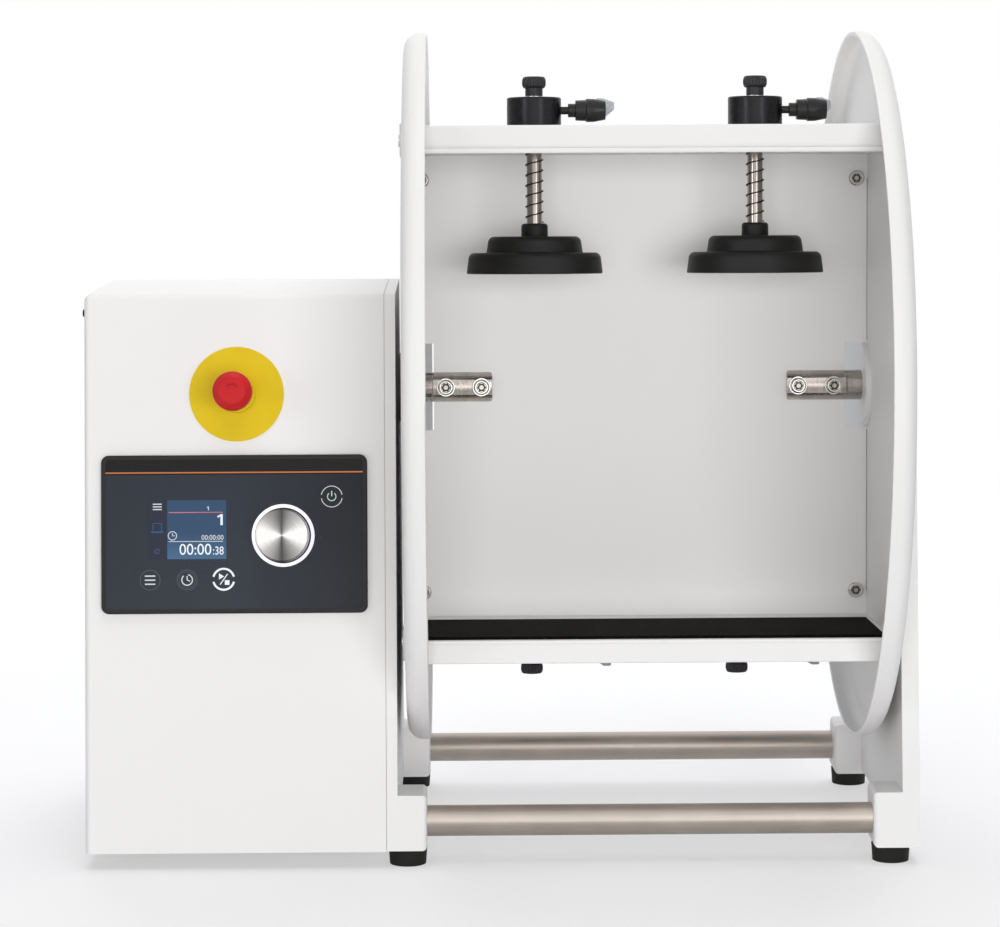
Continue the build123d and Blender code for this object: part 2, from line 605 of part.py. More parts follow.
# ---- control panel -----------------------------------------------------------------------------
panel = extrude(RectangleRounded(PANEL_WIDTH, PANEL_HEIGHT, PANEL_CORNER), PANEL_THICKNESS)
panel = fillet(panel.faces().sort_by(Axis.Z)[-1].edges(), 0.8)
glass_low = PANEL_THICKNESS + GLASS_PROUD - GLASS_THICKNESS
glass_high = glass_low + GLASS_THICKNESS
glass_width = PANEL_WIDTH - 2 * GLASS_BORDER
glass_height = PANEL_HEIGHT - 2 * GLASS_BORDER
glass_corner = PANEL_CORNER - GLASS_BORDER
glass_outline = RectangleRounded(glass_width, glass_height, glass_corner)
glass = Pos(0, 0, glass_low) * extrude(glass_outline, GLASS_THICKNESS)
panel -= Pos(0, 0, glass_low) * extrude(glass_outline, PANEL_THICKNESS)
dial_place = Pos(DIAL_OFFSET_X, DIAL_OFFSET_UP, 0)
ring_seat = dial_place * rod_z(LIGHT_RING_OUTER_DIAMETER, LIGHT_RING_SEAT, 10)
glass -= ring_seat
panel -= ring_seat
panel -= dial_place * rod_z(DIAL_SHAFT_DIAMETER + DIAL_HOLE_MARGIN, -1, 10)
screen_width = SCREEN_RIGHT - SCREEN_LEFT
screen_height = SCREEN_TOP - SCREEN_BOTTOM
screen_place = Pos((SCREEN_LEFT + SCREEN_RIGHT) / 2, (SCREEN_BOTTOM + SCREEN_TOP) / 2, 0)
screen_hole = Box(screen_width + 2 * SCREEN_GAP, screen_height + 2 * SCREEN_GAP, 3 * GLASS_THICKNESS)
glass -= screen_place * Pos(0, 0, glass_low) * screen_hole
screen = Box(screen_width, screen_height, GLASS_THICKNESS)
screen = screen_place * Pos(0, 0, glass_low + GLASS_THICKNESS / 2) * screen
for x_side in (-1, 1):
    for y_side in (-1, 1):
        pillar = rod_z(BOARD_PILLAR_DIAMETER, -BOARD_SETBACK, 0)
        pillar_x = x_side * (BOARD_WIDTH / 2 - BOARD_PILLAR_INSET)
        pillar_y = y_side * (BOARD_HEIGHT / 2 - BOARD_PILLAR_INSET)
        panel += Pos(pillar_x, pillar_y, 0) * pillar
ring = turned(
    [
        (LIGHT_RING_INNER_DIAMETER / 2, LIGHT_RING_SEAT),
        (LIGHT_RING_OUTER_DIAMETER / 2, LIGHT_RING_SEAT),
        (LIGHT_RING_OUTER_DIAMETER / 2, LIGHT_RING_TOP - 0.5),
        (LIGHT_RING_OUTER_DIAMETER / 2 - 0.5, LIGHT_RING_TOP),
        (LIGHT_RING_INNER_DIAMETER / 2, LIGHT_RING_TOP),
    ]
)
dial_radius = DIAL_DIAMETER / 2
dial = turned(
    [
        (0, DIAL_BASE),
        (dial_radius - DIAL_BASE_BEVEL, DIAL_BASE),
        (dial_radius, DIAL_BASE + DIAL_BASE_BEVEL),
        (dial_radius, DIAL_TOP),
        (0, DIAL_TOP),
    ],
    [(dial_radius, DIAL_TOP, DIAL_EDGE_ROUND)],
)
dial_socket_top = DIAL_BASE + DIAL_SHAFT_SOCKET
dial -= rod_z(DIAL_SHAFT_DIAMETER + 2 * RUNNING_CLEARANCE, DIAL_BASE - 1, dial_socket_top)
dial_shaft = rod_z(DIAL_SHAFT_DIAMETER, -DIAL_SHAFT_DEPTH, dial_socket_top)
board_top = -BOARD_SETBACK
board = Pos(0, 0, board_top - BOARD_THICKNESS / 2) * Box(BOARD_WIDTH, BOARD_HEIGHT, BOARD_THICKNESS)
encoder = Pos(0, 0, board_top + ENCODER_HEIGHT / 2) * Box(ENCODER_WIDTH, ENCODER_WIDTH, ENCODER_HEIGHT)
board += dial_place * encoder
module = Box(screen_width, screen_height, DISPLAY_MODULE_THICKNESS)
board += screen_place * Pos(0, 0, board_top + DISPLAY_MODULE_THICKNESS / 2) * module
encoder_floor = -DIAL_SHAFT_DEPTH - DIAL_TRAVEL - DIAL_SHAFT_END_GAP
board -= dial_place * rod_z(DIAL_SHAFT_DIAMETER + 2 * RUNNING_CLEARANCE, encoder_floor, 0)

# ---- emergency stop ----------------------------------------------------------------------------
label = rod_z(STOP_LABEL_DIAMETER, 0, STOP_LABEL_THICKNESS) - rod_z(STOP_BARREL_DIAMETER, -1, 2)
housing = rod_z(STOP_COLLAR_DIAMETER, STOP_LABEL_THICKNESS, STOP_LABEL_THICKNESS + STOP_COLLAR_HEIGHT)
housing = chamfer(housing.faces().sort_by(Axis.Z)[-1].edges(), 1.0)
housing += rod_z(STOP_BARREL_DIAMETER, STOP_CONTACT_TOP, STOP_LABEL_THICKNESS + 1)
nut_top = -CABINET_WALL
housing += rod_z(STOP_NUT_DIAMETER, nut_top - STOP_NUT_HEIGHT, nut_top)
contact_middle = (STOP_CONTACT_TOP + STOP_CONTACT_BOTTOM) / 2
contact_depth = STOP_CONTACT_TOP - STOP_CONTACT_BOTTOM
housing += Pos(0, 0, contact_middle) * Box(STOP_CONTACT_WIDTH, STOP_CONTACT_WIDTH, contact_depth)
stem_bore = STOP_STEM_DIAMETER + 2 * RUNNING_CLEARANCE
housing -= rod_z(stem_bore, STOP_STEM_BOTTOM - STOP_BUTTON_TRAVEL - 1, 20)
stem_top = STOP_BUTTON_BASE + STOP_STEM_SOCKET
stem = rod_z(STOP_STEM_DIAMETER, STOP_STEM_BOTTOM, stem_top)
button_radius = STOP_BUTTON_DIAMETER / 2
button = turned(
    [
        (0, STOP_BUTTON_BASE),
        (STOP_BUTTON_BASE_DIAMETER / 2, STOP_BUTTON_BASE),
        (STOP_BUTTON_BASE_DIAMETER / 2, STOP_BUTTON_RIM - 8),
        (button_radius, STOP_BUTTON_RIM),
        (button_radius, STOP_BUTTON_TOP - 4),
        (button_radius - 4, STOP_BUTTON_TOP),
        (0, STOP_BUTTON_TOP),
    ],
    [(button_radius, STOP_BUTTON_TOP - 4, 2.0), (button_radius - 4, STOP_BUTTON_TOP, 2.0)],
)
button -= rod_z(STOP_STEM_DIAMETER + 2 * RUNNING_CLEARANCE, STOP_BUTTON_BASE - 1, stem_top)

# ---- mains inlet and its switch ----------------------------------------------------------------
inlet = Box(INLET_FLANGE_WIDTH, INLET_FLANGE_HEIGHT, INLET_FLANGE_THICKNESS)
inlet = Pos(0, 0, INLET_FLANGE_THICKNESS / 2) * inlet
inlet = fillet(inlet.edges().filter_by(Axis.Z), 2.0)
inlet_body = Box(INLET_BODY_WIDTH, INLET_BODY_HEIGHT, INLET_BODY_DEPTH)
inlet += Pos(0, 0, -INLET_BODY_DEPTH / 2) * inlet_body
socket_floor = INLET_FLANGE_THICKNESS - SOCKET_DEPTH
socket = extrude(Rectangle(SOCKET_WIDTH, SOCKET_HEIGHT), SOCKET_DEPTH + 1)
socket = chamfer(socket.edges().filter_by(Axis.Z).group_by(Axis.Y)[-1], 5.0)
inlet -= Pos(SOCKET_OFFSET, 0, socket_floor) * socket
for shift, rise in ((-SOCKET_PIN_SPREAD, -2.0), (0.0, 2.0), (SOCKET_PIN_SPREAD, -2.0)):
    pin = Box(SOCKET_PIN_WIDTH, SOCKET_PIN_HEIGHT, SOCKET_PIN_LENGTH + 1)
    inlet += Pos(SOCKET_OFFSET + shift, rise, socket_floor + (SOCKET_PIN_LENGTH - 1) / 2) * pin
well_width = ROCKER_WIDTH + 2 * ROCKER_CLEARANCE
well_length = ROCKER_LENGTH + 2 * ROCKER_END_CLEARANCE
well = Box(well_width, well_length, 2 * (ROCKER_DEPTH + ROCKER_WELL_MARGIN))
inlet -= Pos(ROCKER_OFFSET, 0, INLET_FLANGE_THICKNESS) * well
axle_depth = ROCKER_DEPTH - ROCKER_AXLE_ABOVE_FLOOR
axle = rod_x(ROCKER_AXLE_DIAMETER, -well_width / 2 - 1, well_width / 2 + 1)
inlet += Pos(ROCKER_OFFSET, 0, INLET_FLANGE_THICKNESS - axle_depth) * axle
half = ROCKER_LENGTH / 2
dip = half * sin(radians(ROCKER_TILT))
rocker_base = -ROCKER_DEPTH + ROCKER_BASE_LIFT
rocker_points = [(-half, rocker_base), (half, rocker_base), (half, ROCKER_PROUD)]
rocker_points += [(0, ROCKER_PROUD - dip), (-half, ROCKER_PROUD)]
rocker = make_face(Polyline(*rocker_points, close=True))
rocker = extrude(rocker, ROCKER_WIDTH)
rocker = Pos(-ROCKER_WIDTH / 2, 0, 0) * Plane.YZ.location * rocker
axle_hole = rod_x(ROCKER_AXLE_DIAMETER + 2 * RUNNING_CLEARANCE, -ROCKER_WIDTH, ROCKER_WIDTH)
rocker -= Pos(0, 0, -axle_depth) * axle_hole
rocker = Pos(0, 0, -axle_depth) * Rot(ROCKER_TILT, 0, 0) * Pos(0, 0, axle_depth) * rocker
rocker = Pos(ROCKER_OFFSET, 0, INLET_FLANGE_THICKNESS) * rocker

# ---- bearings, pulleys, belt and motor ---------------------------------------------------------
def bush(flange_length, body_length):
    """Flanged plain bearing, its flange above Z = 0 and its body below."""
    points = [
        (SHAFT_DIAMETER / 2 + RUNNING_CLEARANCE, -body_length),
        (BUSH_BODY_DIAMETER / 2, -body_length),
        (BUSH_BODY_DIAMETER / 2, 0),
        (BUSH_OUTER_DIAMETER / 2, 0),
        (BUSH_OUTER_DIAMETER / 2, flange_length - BUSH_FLANGE_BEVEL),
        (BUSH_OUTER_DIAMETER / 2 - BUSH_FLANGE_BEVEL, flange_length),
        (SHAFT_DIAMETER / 2 + RUNNING_CLEARANCE, flange_length),
    ]
    return turned(points)


left_bush = bush(BUSH_FLANGE_LENGTH, FRAME_THICKNESS)
left_bush = Pos(LEFT_FRAME_INNER_X, 0, AXIS_HEIGHT) * Rot(0, 90, 0) * left_bush
right_bush = bush(RIGHT_BUSH_FLANGE_LENGTH, FRAME_THICKNESS)
right_bush = Pos(RIGHT_FRAME_INNER_X, 0, AXIS_HEIGHT) * Rot(0, -90, 0) * right_bush
right_cap = rod_x(BUSH_BODY_DIAMETER, HALF_WIDTH - BUSH_CAP_THICKNESS, HALF_WIDTH, 0, AXIS_HEIGHT)
right_bush += right_cap


def pulley(diameter, bore):
    """Flanged belt pulley about Z, centred on its width."""
    radius = diameter / 2
    rim = radius + PULLEY_FLANGE_HEIGHT
    half_width = PULLEY_WIDTH / 2
    inside = half_width - PULLEY_FLANGE_WIDTH
    points = [(bore / 2, -half_width), (rim, -half_width), (rim, -inside), (radius, -inside)]
    points += [(radius, inside), (rim, inside), (rim, half_width), (bore / 2, half_width)]
    return turned(points)


driven_pulley = Rot(0, 90, 0) * pulley(DRIVEN_PULLEY_DIAMETER, SHAFT_DIAMETER)
motor_pulley = Rot(0, 90, 0) * pulley(MOTOR_PULLEY_DIAMETER, MOTOR_SHAFT_DIAMETER)
driven_pulley = Pos(PULLEY_X, 0, AXIS_HEIGHT) * driven_pulley
motor_pulley = Pos(PULLEY_X, 0, MOTOR_AXIS_HEIGHT) * motor_pulley


def belt_loop(big_radius, small_radius, distance):
    """Closed outline round two circles, the big one at the origin and the small one below."""
    rise = (big_radius - small_radius) / distance
    run = (1 - rise * rise) ** 0.5
    big = (big_radius * run, -big_radius * rise)
    small = (small_radius * run, -distance - small_radius * rise)
    left_big = (-big[0], big[1])
    left_small = (-small[0], small[1])
    right_line = Line(small, big)
    over = ThreePointArc(big, (0, big_radius), left_big)
    left_line = Line(left_big, left_small)
    under = ThreePointArc(left_small, (0, -distance - small_radius), small)
    return make_face([right_line, over, left_line, under])


belt_inner_big = DRIVEN_PULLEY_DIAMETER / 2 + RUNNING_CLEARANCE
belt_inner_small = MOTOR_PULLEY_DIAMETER / 2 + RUNNING_CLEARANCE
belt_outer_big = belt_inner_big + BELT_THICKNESS
belt_outer_small = belt_inner_small + BELT_THICKNESS
belt = belt_loop(belt_outer_big, belt_outer_small, PULLEY_CENTRE_DISTANCE)
belt -= belt_loop(belt_inner_big, belt_inner_small, PULLEY_CENTRE_DISTANCE)
belt = Plane.YZ.location * extrude(belt, BELT_WIDTH)
belt = Pos(PULLEY_X - BELT_WIDTH / 2, 0, AXIS_HEIGHT) * belt

bracket_mid = MOTOR_AXIS_HEIGHT
motor_face = BRACKET_X - BRACKET_THICKNESS
bracket = Box(BRACKET_THICKNESS, BRACKET_WIDTH, BRACKET_HEIGHT)
bracket = Pos(BRACKET_X - BRACKET_THICKNESS / 2, 0, bracket_mid) * bracket
bracket -= rod_x(MOTOR_NOSE_DIAMETER + 2.0, motor_face - 1, BRACKET_X + 1, 0, bracket_mid)
for y_side in (-1, 1):
    for z_side in (-1, 1):
        y = y_side * (BRACKET_WIDTH / 2 - STANDOFF_INSET)
        z = bracket_mid + z_side * (BRACKET_HEIGHT / 2 - STANDOFF_INSET)
        bracket += rod_x(STANDOFF_DIAMETER, BRACKET_X, LEFT_FRAME_OUTER_X, y, z)
gearbox_back = motor_face - GEARBOX_LENGTH
half_gearbox = GEARBOX_WIDTH / 2
gear_motor = slab(
    gearbox_back,
    motor_face,
    -half_gearbox,
    half_gearbox,
    bracket_mid - half_gearbox,
    bracket_mid + half_gearbox,
)
gear_motor = fillet(gear_motor.edges().filter_by(Axis.X), GEARBOX_ROUND)
gear_motor += rod_x(MOTOR_DIAMETER, gearbox_back - MOTOR_LENGTH, gearbox_back, 0, bracket_mid)
nose_end = BRACKET_X + MOTOR_NOSE_PROUD
gear_motor += rod_x(MOTOR_NOSE_DIAMETER, motor_face, nose_end, 0, bracket_mid)
shaft_start = motor_face - MOTOR_SHAFT_SOCKET
shaft_end = PULLEY_X + PULLEY_WIDTH / 2
motor_shaft = rod_x(MOTOR_SHAFT_DIAMETER, shaft_start, shaft_end, 0, bracket_mid)
shaft_bore = MOTOR_SHAFT_DIAMETER + 2 * RUNNING_CLEARANCE
gear_motor -= rod_x(shaft_bore, shaft_start - 0.5, nose_end + 1, 0, bracket_mid)

supply_floor = base_high
supply = slab(
    SUPPLY_X - SUPPLY_WIDTH / 2,
    SUPPLY_X + SUPPLY_WIDTH / 2,
    SUPPLY_Y - SUPPLY_DEPTH / 2,
    SUPPLY_Y + SUPPLY_DEPTH / 2,
    supply_floor,
    supply_floor + SUPPLY_HEIGHT,
)

# ---- discs -------------------------------------------------------------------------------------
def disc_profile():
    """Dished disc, open towards -Z, with its flat outer face at Z = 0 and its boss inside."""
    inner_radius = DISC_RADIUS - DISC_WALL
    inner_corner = DISC_CORNER - DISC_WALL
    bore = SHAFT_DIAMETER / 2
    boss = DISC_BOSS_DIAMETER / 2
    points = [
        (bore, 0),
        (DISC_RADIUS, 0),
        (DISC_RADIUS, -DISC_DEPTH),
        (inner_radius, -DISC_DEPTH),
        (inner_radius, -DISC_WALL),
        (boss, -DISC_WALL),
        (boss, -DISC_WALL - DISC_BOSS_HEIGHT),
        (bore, -DISC_WALL - DISC_BOSS_HEIGHT),
    ]
    rounds = [
        (DISC_RADIUS, 0, DISC_CORNER),
        (inner_radius, -DISC_WALL, inner_corner),
        (DISC_RADIUS, -DISC_DEPTH, 0.8),
        (inner_radius, -DISC_DEPTH, 0.8),
        (boss, -DISC_WALL - DISC_BOSS_HEIGHT, 1.2),
    ]
    return turned(points, rounds)


right_disc = Pos(DISC_OUTER_HALF_SPAN, 0, 0) * Rot(0, 90, 0) * disc_profile()

# ---- shafts: half the end is milled away to seat on the panel, and a flat takes the screws -----
def cradle_shaft(outer_end):
    """Stub shaft at the +X end, from its milled inner end to outer_end beyond the disc."""
    inner_end = SHAFT_INNER_HALF_SPAN
    shaft = rod_x(SHAFT_DIAMETER, inner_end, outer_end)
    shaft = chamfer(shaft.faces().sort_by(Axis.X)[0].edges(), 1.0)
    radius = SHAFT_DIAMETER / 2
    boss_face = WEB_HALF_SPAN - DISC_BOSS_HEIGHT
    flat_end = inner_end + SHAFT_FLAT_START
    shaft -= slab(inner_end - 1, boss_face - 4, -SHAFT_REAR_CUT, radius + 1, -radius - 1, radius + 1)
    shaft -= slab(inner_end - 1, flat_end, -radius - 1, -SHAFT_FRONT_FLAT, -radius - 1, radius + 1)
    return shaft


def cap_screw(x, z, face_y, tip_y, head_diameter, head_height, shank):
    """Socket-cap screw along +Y with its head seated on face_y."""
    head = rod_y(head_diameter, face_y - head_height, face_y, x, z)
    head = chamfer(head.faces().sort_by(Axis.Y)[0].edges(), 0.6)
    key = RegularPolygon(head_diameter * 0.27, 6, major_radius=True)
    key = extrude(key, head_height * 0.55)
    head -= Pos(x, face_y - head_height, z) * Rot(-90, 0, 0) * key
    return head + rod_y(shank, face_y, tip_y, x, z)


half_panel = BACK_PANEL_THICKNESS / 2
strip_back = half_panel + BACKING_STRIP_THICKNESS
drive_outer = CRADLE_CENTRE_X - (PULLEY_X - PULLEY_WIDTH / 2 - 2)
idle_outer = HALF_WIDTH - RIGHT_SHAFT_END_GAP - CRADLE_CENTRE_X
idle_shaft = cradle_shaft(idle_outer)
drive_shaft = mirror(cradle_shaft(drive_outer), Plane.YZ)
screw_positions = [SHAFT_SCREW_SPAN - SHAFT_SCREW_PITCH / 2, SHAFT_SCREW_SPAN + SHAFT_SCREW_PITCH / 2]
shaft_screws = []
for x in screw_positions:
    sizes = (CAP_HEAD_DIAMETER, CAP_HEAD_HEIGHT, SHAFT_SCREW_SHANK)
    screw = cap_screw(x, 0, -SHAFT_FRONT_FLAT, strip_back, *sizes)
    shaft_screws += both_ends(screw)

# ---- centre panel with its brackets ------------------------------------------------------------
centre_panel = slab(
    -WEB_HALF_SPAN, WEB_HALF_SPAN, -half_panel, half_panel, -SHELF_INNER_HEIGHT, SHELF_INNER_HEIGHT
)
notch_inner = WEB_HALF_SPAN - NOTCH_WIDTH
notch = slab(
    notch_inner, WEB_HALF_SPAN + 1, -half_panel - 1, half_panel + 1, -NOTCH_HEIGHT / 2, NOTCH_HEIGHT / 2
)
strip = slab(
    SHAFT_INNER_HALF_SPAN + BACKING_STRIP_INSET,
    notch_inner,
    half_panel,
    strip_back,
    -BACKING_STRIP_HEIGHT / 2,
    BACKING_STRIP_HEIGHT / 2,
)
for piece in both_ends(notch):
    centre_panel -= piece
brackets = both_ends(strip)
panel_screws = []
bracket_holes = []
screw_x = WEB_HALF_SPAN - PANEL_SCREW_FROM_WEB
for side in (-1, 1):
    z = side * PANEL_SCREW_HEIGHT
    angle = slab(
        WEB_HALF_SPAN - ANGLE_LEG,
        WEB_HALF_SPAN,
        half_panel,
        half_panel + ANGLE_THICKNESS,
        z - ANGLE_LENGTH / 2,
        z + ANGLE_LENGTH / 2,
    )
    angle += slab(
        WEB_HALF_SPAN - ANGLE_THICKNESS,
        WEB_HALF_SPAN,
        half_panel,
        half_panel + ANGLE_LEG,
        z - ANGLE_LENGTH / 2,
        z + ANGLE_LENGTH / 2,
    )
    brackets += both_ends(angle)
    tip = half_panel + ANGLE_THICKNESS
    sizes = (CAP_HEAD_DIAMETER, PANEL_SCREW_HEAD_HEIGHT, PANEL_SCREW_SHANK)
    screw = cap_screw(screw_x, z, -half_panel, tip, *sizes)
    panel_screws += both_ends(screw)
for screw in shaft_screws + panel_screws:
    centre_panel -= screw
for index, piece in enumerate(brackets):
    for screw in shaft_screws + panel_screws:
        piece = piece - screw
    brackets[index] = piece
for screw in shaft_screws:
    idle_shaft -= screw
    drive_shaft -= screw

# ---- shelves and mats --------------------------------------------------------------------------
shelf = slab(
    -WEB_HALF_SPAN,
    WEB_HALF_SPAN,
    -SHELF_HALF_DEPTH,
    SHELF_HALF_DEPTH,
    SHELF_INNER_HEIGHT,
    SHELF_OUTER_HEIGHT,
)
shelf = fillet(shelf.edges().filter_by(Axis.X).group_by(Axis.Z)[0], SHELF_EDGE_ROUND)
shelf = fillet(shelf.edges().filter_by(Axis.X).group_by(Axis.Z)[-1], SHELF_OUTER_ROUND)
clamp_x = (-CLAMP_HALF_PITCH_X, CLAMP_HALF_PITCH_X)
for x in clamp_x:
    shelf -= rod_z(SHELF_HOLE_DIAMETER, SHELF_INNER_HEIGHT - 1, SHELF_OUTER_HEIGHT + 1, x, -CLAMP_OFFSET_Y)
mat_half_width = WEB_HALF_SPAN - MAT_END_INSET
mat = slab(
    -mat_half_width,
    mat_half_width,
    half_panel + MAT_FROM_PANEL,
    SHELF_HALF_DEPTH - SHELF_EDGE_ROUND,
    SHELF_INNER_HEIGHT - MAT_THICKNESS,
    SHELF_INNER_HEIGHT,
)

# ---- plates on the outside of the discs that carry the shelf ends ------------------------------
plate_middle = SHELF_INNER_HEIGHT + SHELF_THICKNESS / 2
fixing_plates = []
fixing_screws = []
for turn in (False, True):
    plate = slab(
        DISC_OUTER_HALF_SPAN,
        DISC_OUTER_HALF_SPAN + FIXING_PLATE_THICKNESS,
        -FIXING_PLATE_LENGTH / 2,
        FIXING_PLATE_LENGTH / 2,
        plate_middle - FIXING_PLATE_HEIGHT / 2,
        plate_middle + FIXING_PLATE_HEIGHT / 2,
    )
    plate = fillet(plate.edges().filter_by(Axis.X), FIXING_PLATE_CORNER)
    fixing_plates += [half_turn(piece) if turn else piece for piece in both_ends(plate)]
    for shift in (-FIXING_SCREW_SPACING, 0, FIXING_SCREW_SPACING):
        head_face = DISC_OUTER_HALF_SPAN + FIXING_PLATE_THICKNESS
        head_end = head_face + FIXING_SCREW_HEAD_HEIGHT
        shank_end = WEB_HALF_SPAN - FIXING_SCREW_DEPTH
        screw = rod_x(FIXING_SCREW_HEAD_DIAMETER, head_face, head_end, shift, plate_middle)
        screw += rod_x(FIXING_SCREW_SHANK, shank_end, head_face, shift, plate_middle)
        fixing_screws += [half_turn(piece) if turn else piece for piece in both_ends(screw)]

left_disc = mirror(right_disc, Plane.YZ)
upper_shelf = shelf
lower_shelf = half_turn(shelf)
for screw in fixing_screws:
    left_disc -= screw
    right_disc -= screw
    upper_shelf -= screw
    lower_shelf -= screw
fixing_plates = [plate - fixing_screws for plate in fixing_plates]

# ---- clamps ------------------------------------------------------------------------------------
spring_top = SHELF_OUTER_HEIGHT - SPRING_END_GAP
spring_bottom = COLLAR_TOP + SPRING_END_GAP
spring_height = spring_top - spring_bottom - SPRING_WIRE
spring_path = Helix(SPRING_PITCH, spring_height, SPRING_MEAN_RADIUS)
wire = RegularPolygon(SPRING_WIRE / 2, 6, major_radius=True)
wire = Plane(origin=spring_path @ 0, z_dir=spring_path % 0) * wire
spring = sweep(wire, path=spring_path, is_frenet=True)
spring = Pos(0, 0, spring_bottom + SPRING_WIRE / 2) * spring

block = turned(
    [
        (ROD_DIAMETER / 2 + RUNNING_CLEARANCE, SHELF_OUTER_HEIGHT),
        (BLOCK_DIAMETER / 2, SHELF_OUTER_HEIGHT),
        (BLOCK_DIAMETER / 2, BLOCK_TOP),
        (ROD_DIAMETER / 2 + RUNNING_CLEARANCE, BLOCK_TOP),
    ],
    [(BLOCK_DIAMETER / 2, BLOCK_TOP, BLOCK_EDGE_ROUND)],
)
lever_level = SHELF_OUTER_HEIGHT + LEVER_HEIGHT
screw_end = BLOCK_DIAMETER / 2 + LEVER_SCREW_SHOWN
screw_tip = BLOCK_DIAMETER / 2 - LEVER_SCREW_DEPTH
screw_hole = LEVER_SCREW_DIAMETER + 2 * RUNNING_CLEARANCE
block -= rod_x(screw_hole, 0, BLOCK_DIAMETER, 0, lever_level)

rod_bottom = PAD_TOP - PAD_SOCKET
rod = rod_z(ROD_DIAMETER, rod_bottom, KNOB_NECK_BOTTOM)
rod += rod_z(KNOB_SPIGOT_DIAMETER, KNOB_NECK_BOTTOM, KNOB_NECK_BOTTOM + KNOB_SPIGOT_LENGTH)

knob = turned(
    [
        (0, KNOB_NECK_BOTTOM),
        (KNOB_NECK_DIAMETER / 2, KNOB_NECK_BOTTOM),
        (KNOB_NECK_DIAMETER / 2, KNOB_HEAD_BOTTOM),
        (KNOB_HEAD_DIAMETER / 2, KNOB_HEAD_BOTTOM + 1.0),
        (KNOB_HEAD_DIAMETER / 2, KNOB_TOP),
        (0, KNOB_TOP),
    ],
    [
        (KNOB_HEAD_DIAMETER / 2, KNOB_TOP, KNOB_EDGE_ROUND),
        (KNOB_HEAD_DIAMETER / 2, KNOB_HEAD_BOTTOM + 1.0, 1.0),
    ],
)
knob -= rod_z(KNOB_SPIGOT_DIAMETER, KNOB_NECK_BOTTOM - 1, KNOB_NECK_BOTTOM + KNOB_SPIGOT_LENGTH)

collar = turned(
    [
        (ROD_DIAMETER / 2, PAD_TOP),
        (COLLAR_DIAMETER / 2, PAD_TOP),
        (COLLAR_DIAMETER / 2, COLLAR_TOP),
        (ROD_DIAMETER / 2, COLLAR_TOP),
    ],
    [(COLLAR_DIAMETER / 2, COLLAR_TOP, COLLAR_ROUND)],
)

pad = turned(
    [
        (0, PAD_BOTTOM + PAD_RECESS),
        (PAD_BOTTOM_DIAMETER / 2 - PAD_RIM - 2.0, PAD_BOTTOM + PAD_RECESS),
        (PAD_BOTTOM_DIAMETER / 2 - PAD_RIM, PAD_BOTTOM),
        (PAD_BOTTOM_DIAMETER / 2, PAD_BOTTOM),
        (PAD_LOWER_DIAMETER / 2, PAD_STEP),
        (PAD_STEP_DIAMETER / 2, PAD_STEP),
        (PAD_UPPER_DIAMETER / 2, PAD_TOP),
        (0, PAD_TOP),
    ],
    [
        (PAD_LOWER_DIAMETER / 2, PAD_STEP, PAD_ROUND),
        (PAD_UPPER_DIAMETER / 2, PAD_TOP, PAD_ROUND),
        (PAD_STEP_DIAMETER / 2, PAD_STEP, 1.0),
        (PAD_BOTTOM_DIAMETER / 2, PAD_BOTTOM, 0.8),
    ],
)
pad -= rod_z(ROD_DIAMETER, rod_bottom, PAD_TOP + 1)

# The lever's hub lies beside the block and its arm trails back and outwards from it.
hub_start = screw_end + LEVER_NECK_LENGTH
hub_end = hub_start + LEVER_HUB_LENGTH
hub = turned(
    [
        (0, screw_end),
        (LEVER_NECK_DIAMETER / 2, screw_end),
        (LEVER_NECK_DIAMETER / 2, hub_start),
        (LEVER_HUB_DIAMETER / 2 - 0.6, hub_start),
        (LEVER_HUB_DIAMETER / 2, hub_start + 4),
        (LEVER_HUB_DIAMETER / 2 - 0.8, hub_end),
        (0, hub_end),
    ],
    [(LEVER_HUB_DIAMETER / 2 - 0.8, hub_end, 1.0)],
)
hub += rod_z(LEVER_SCREW_DIAMETER, screw_tip, screw_end)
arm_root = hub_end - LEVER_ARM_ROOT_WIDTH / 2 - 1.0
root_half = LEVER_ARM_ROOT_WIDTH / 2
tip_half = LEVER_ARM_TIP_WIDTH / 2
arm_points = [(0, -root_half), (0, root_half)]
arm_points += [(LEVER_ARM_LENGTH, tip_half), (LEVER_ARM_LENGTH, -tip_half)]
arm = prism_x(arm_points, -LEVER_ARM_THICKNESS / 2, LEVER_ARM_THICKNESS / 2)
arm = fillet(arm.edges().filter_by(Axis.X).group_by(Axis.Y)[-1], LEVER_TIP_ROUND)
arm = fillet(arm.faces().sort_by(Axis.X)[-1].edges(), LEVER_EDGE_ROUND)
flare_turn = degrees(atan2(LEVER_ARM_FLARE, LEVER_ARM_LENGTH))
lever = Rot(0, 90, 0) * hub
lever += Pos(arm_root, 0, 0) * Rot(0, 0, -flare_turn) * arm
upper_lever = Pos(0, 0, lever_level) * Rot(LEVER_UPPER_REST, 0, 0) * lever
lower_lever = Pos(0, 0, lever_level) * Rot(LEVER_LOWER_REST, 0, 0) * lever

os.makedirs("parts", exist_ok=True)

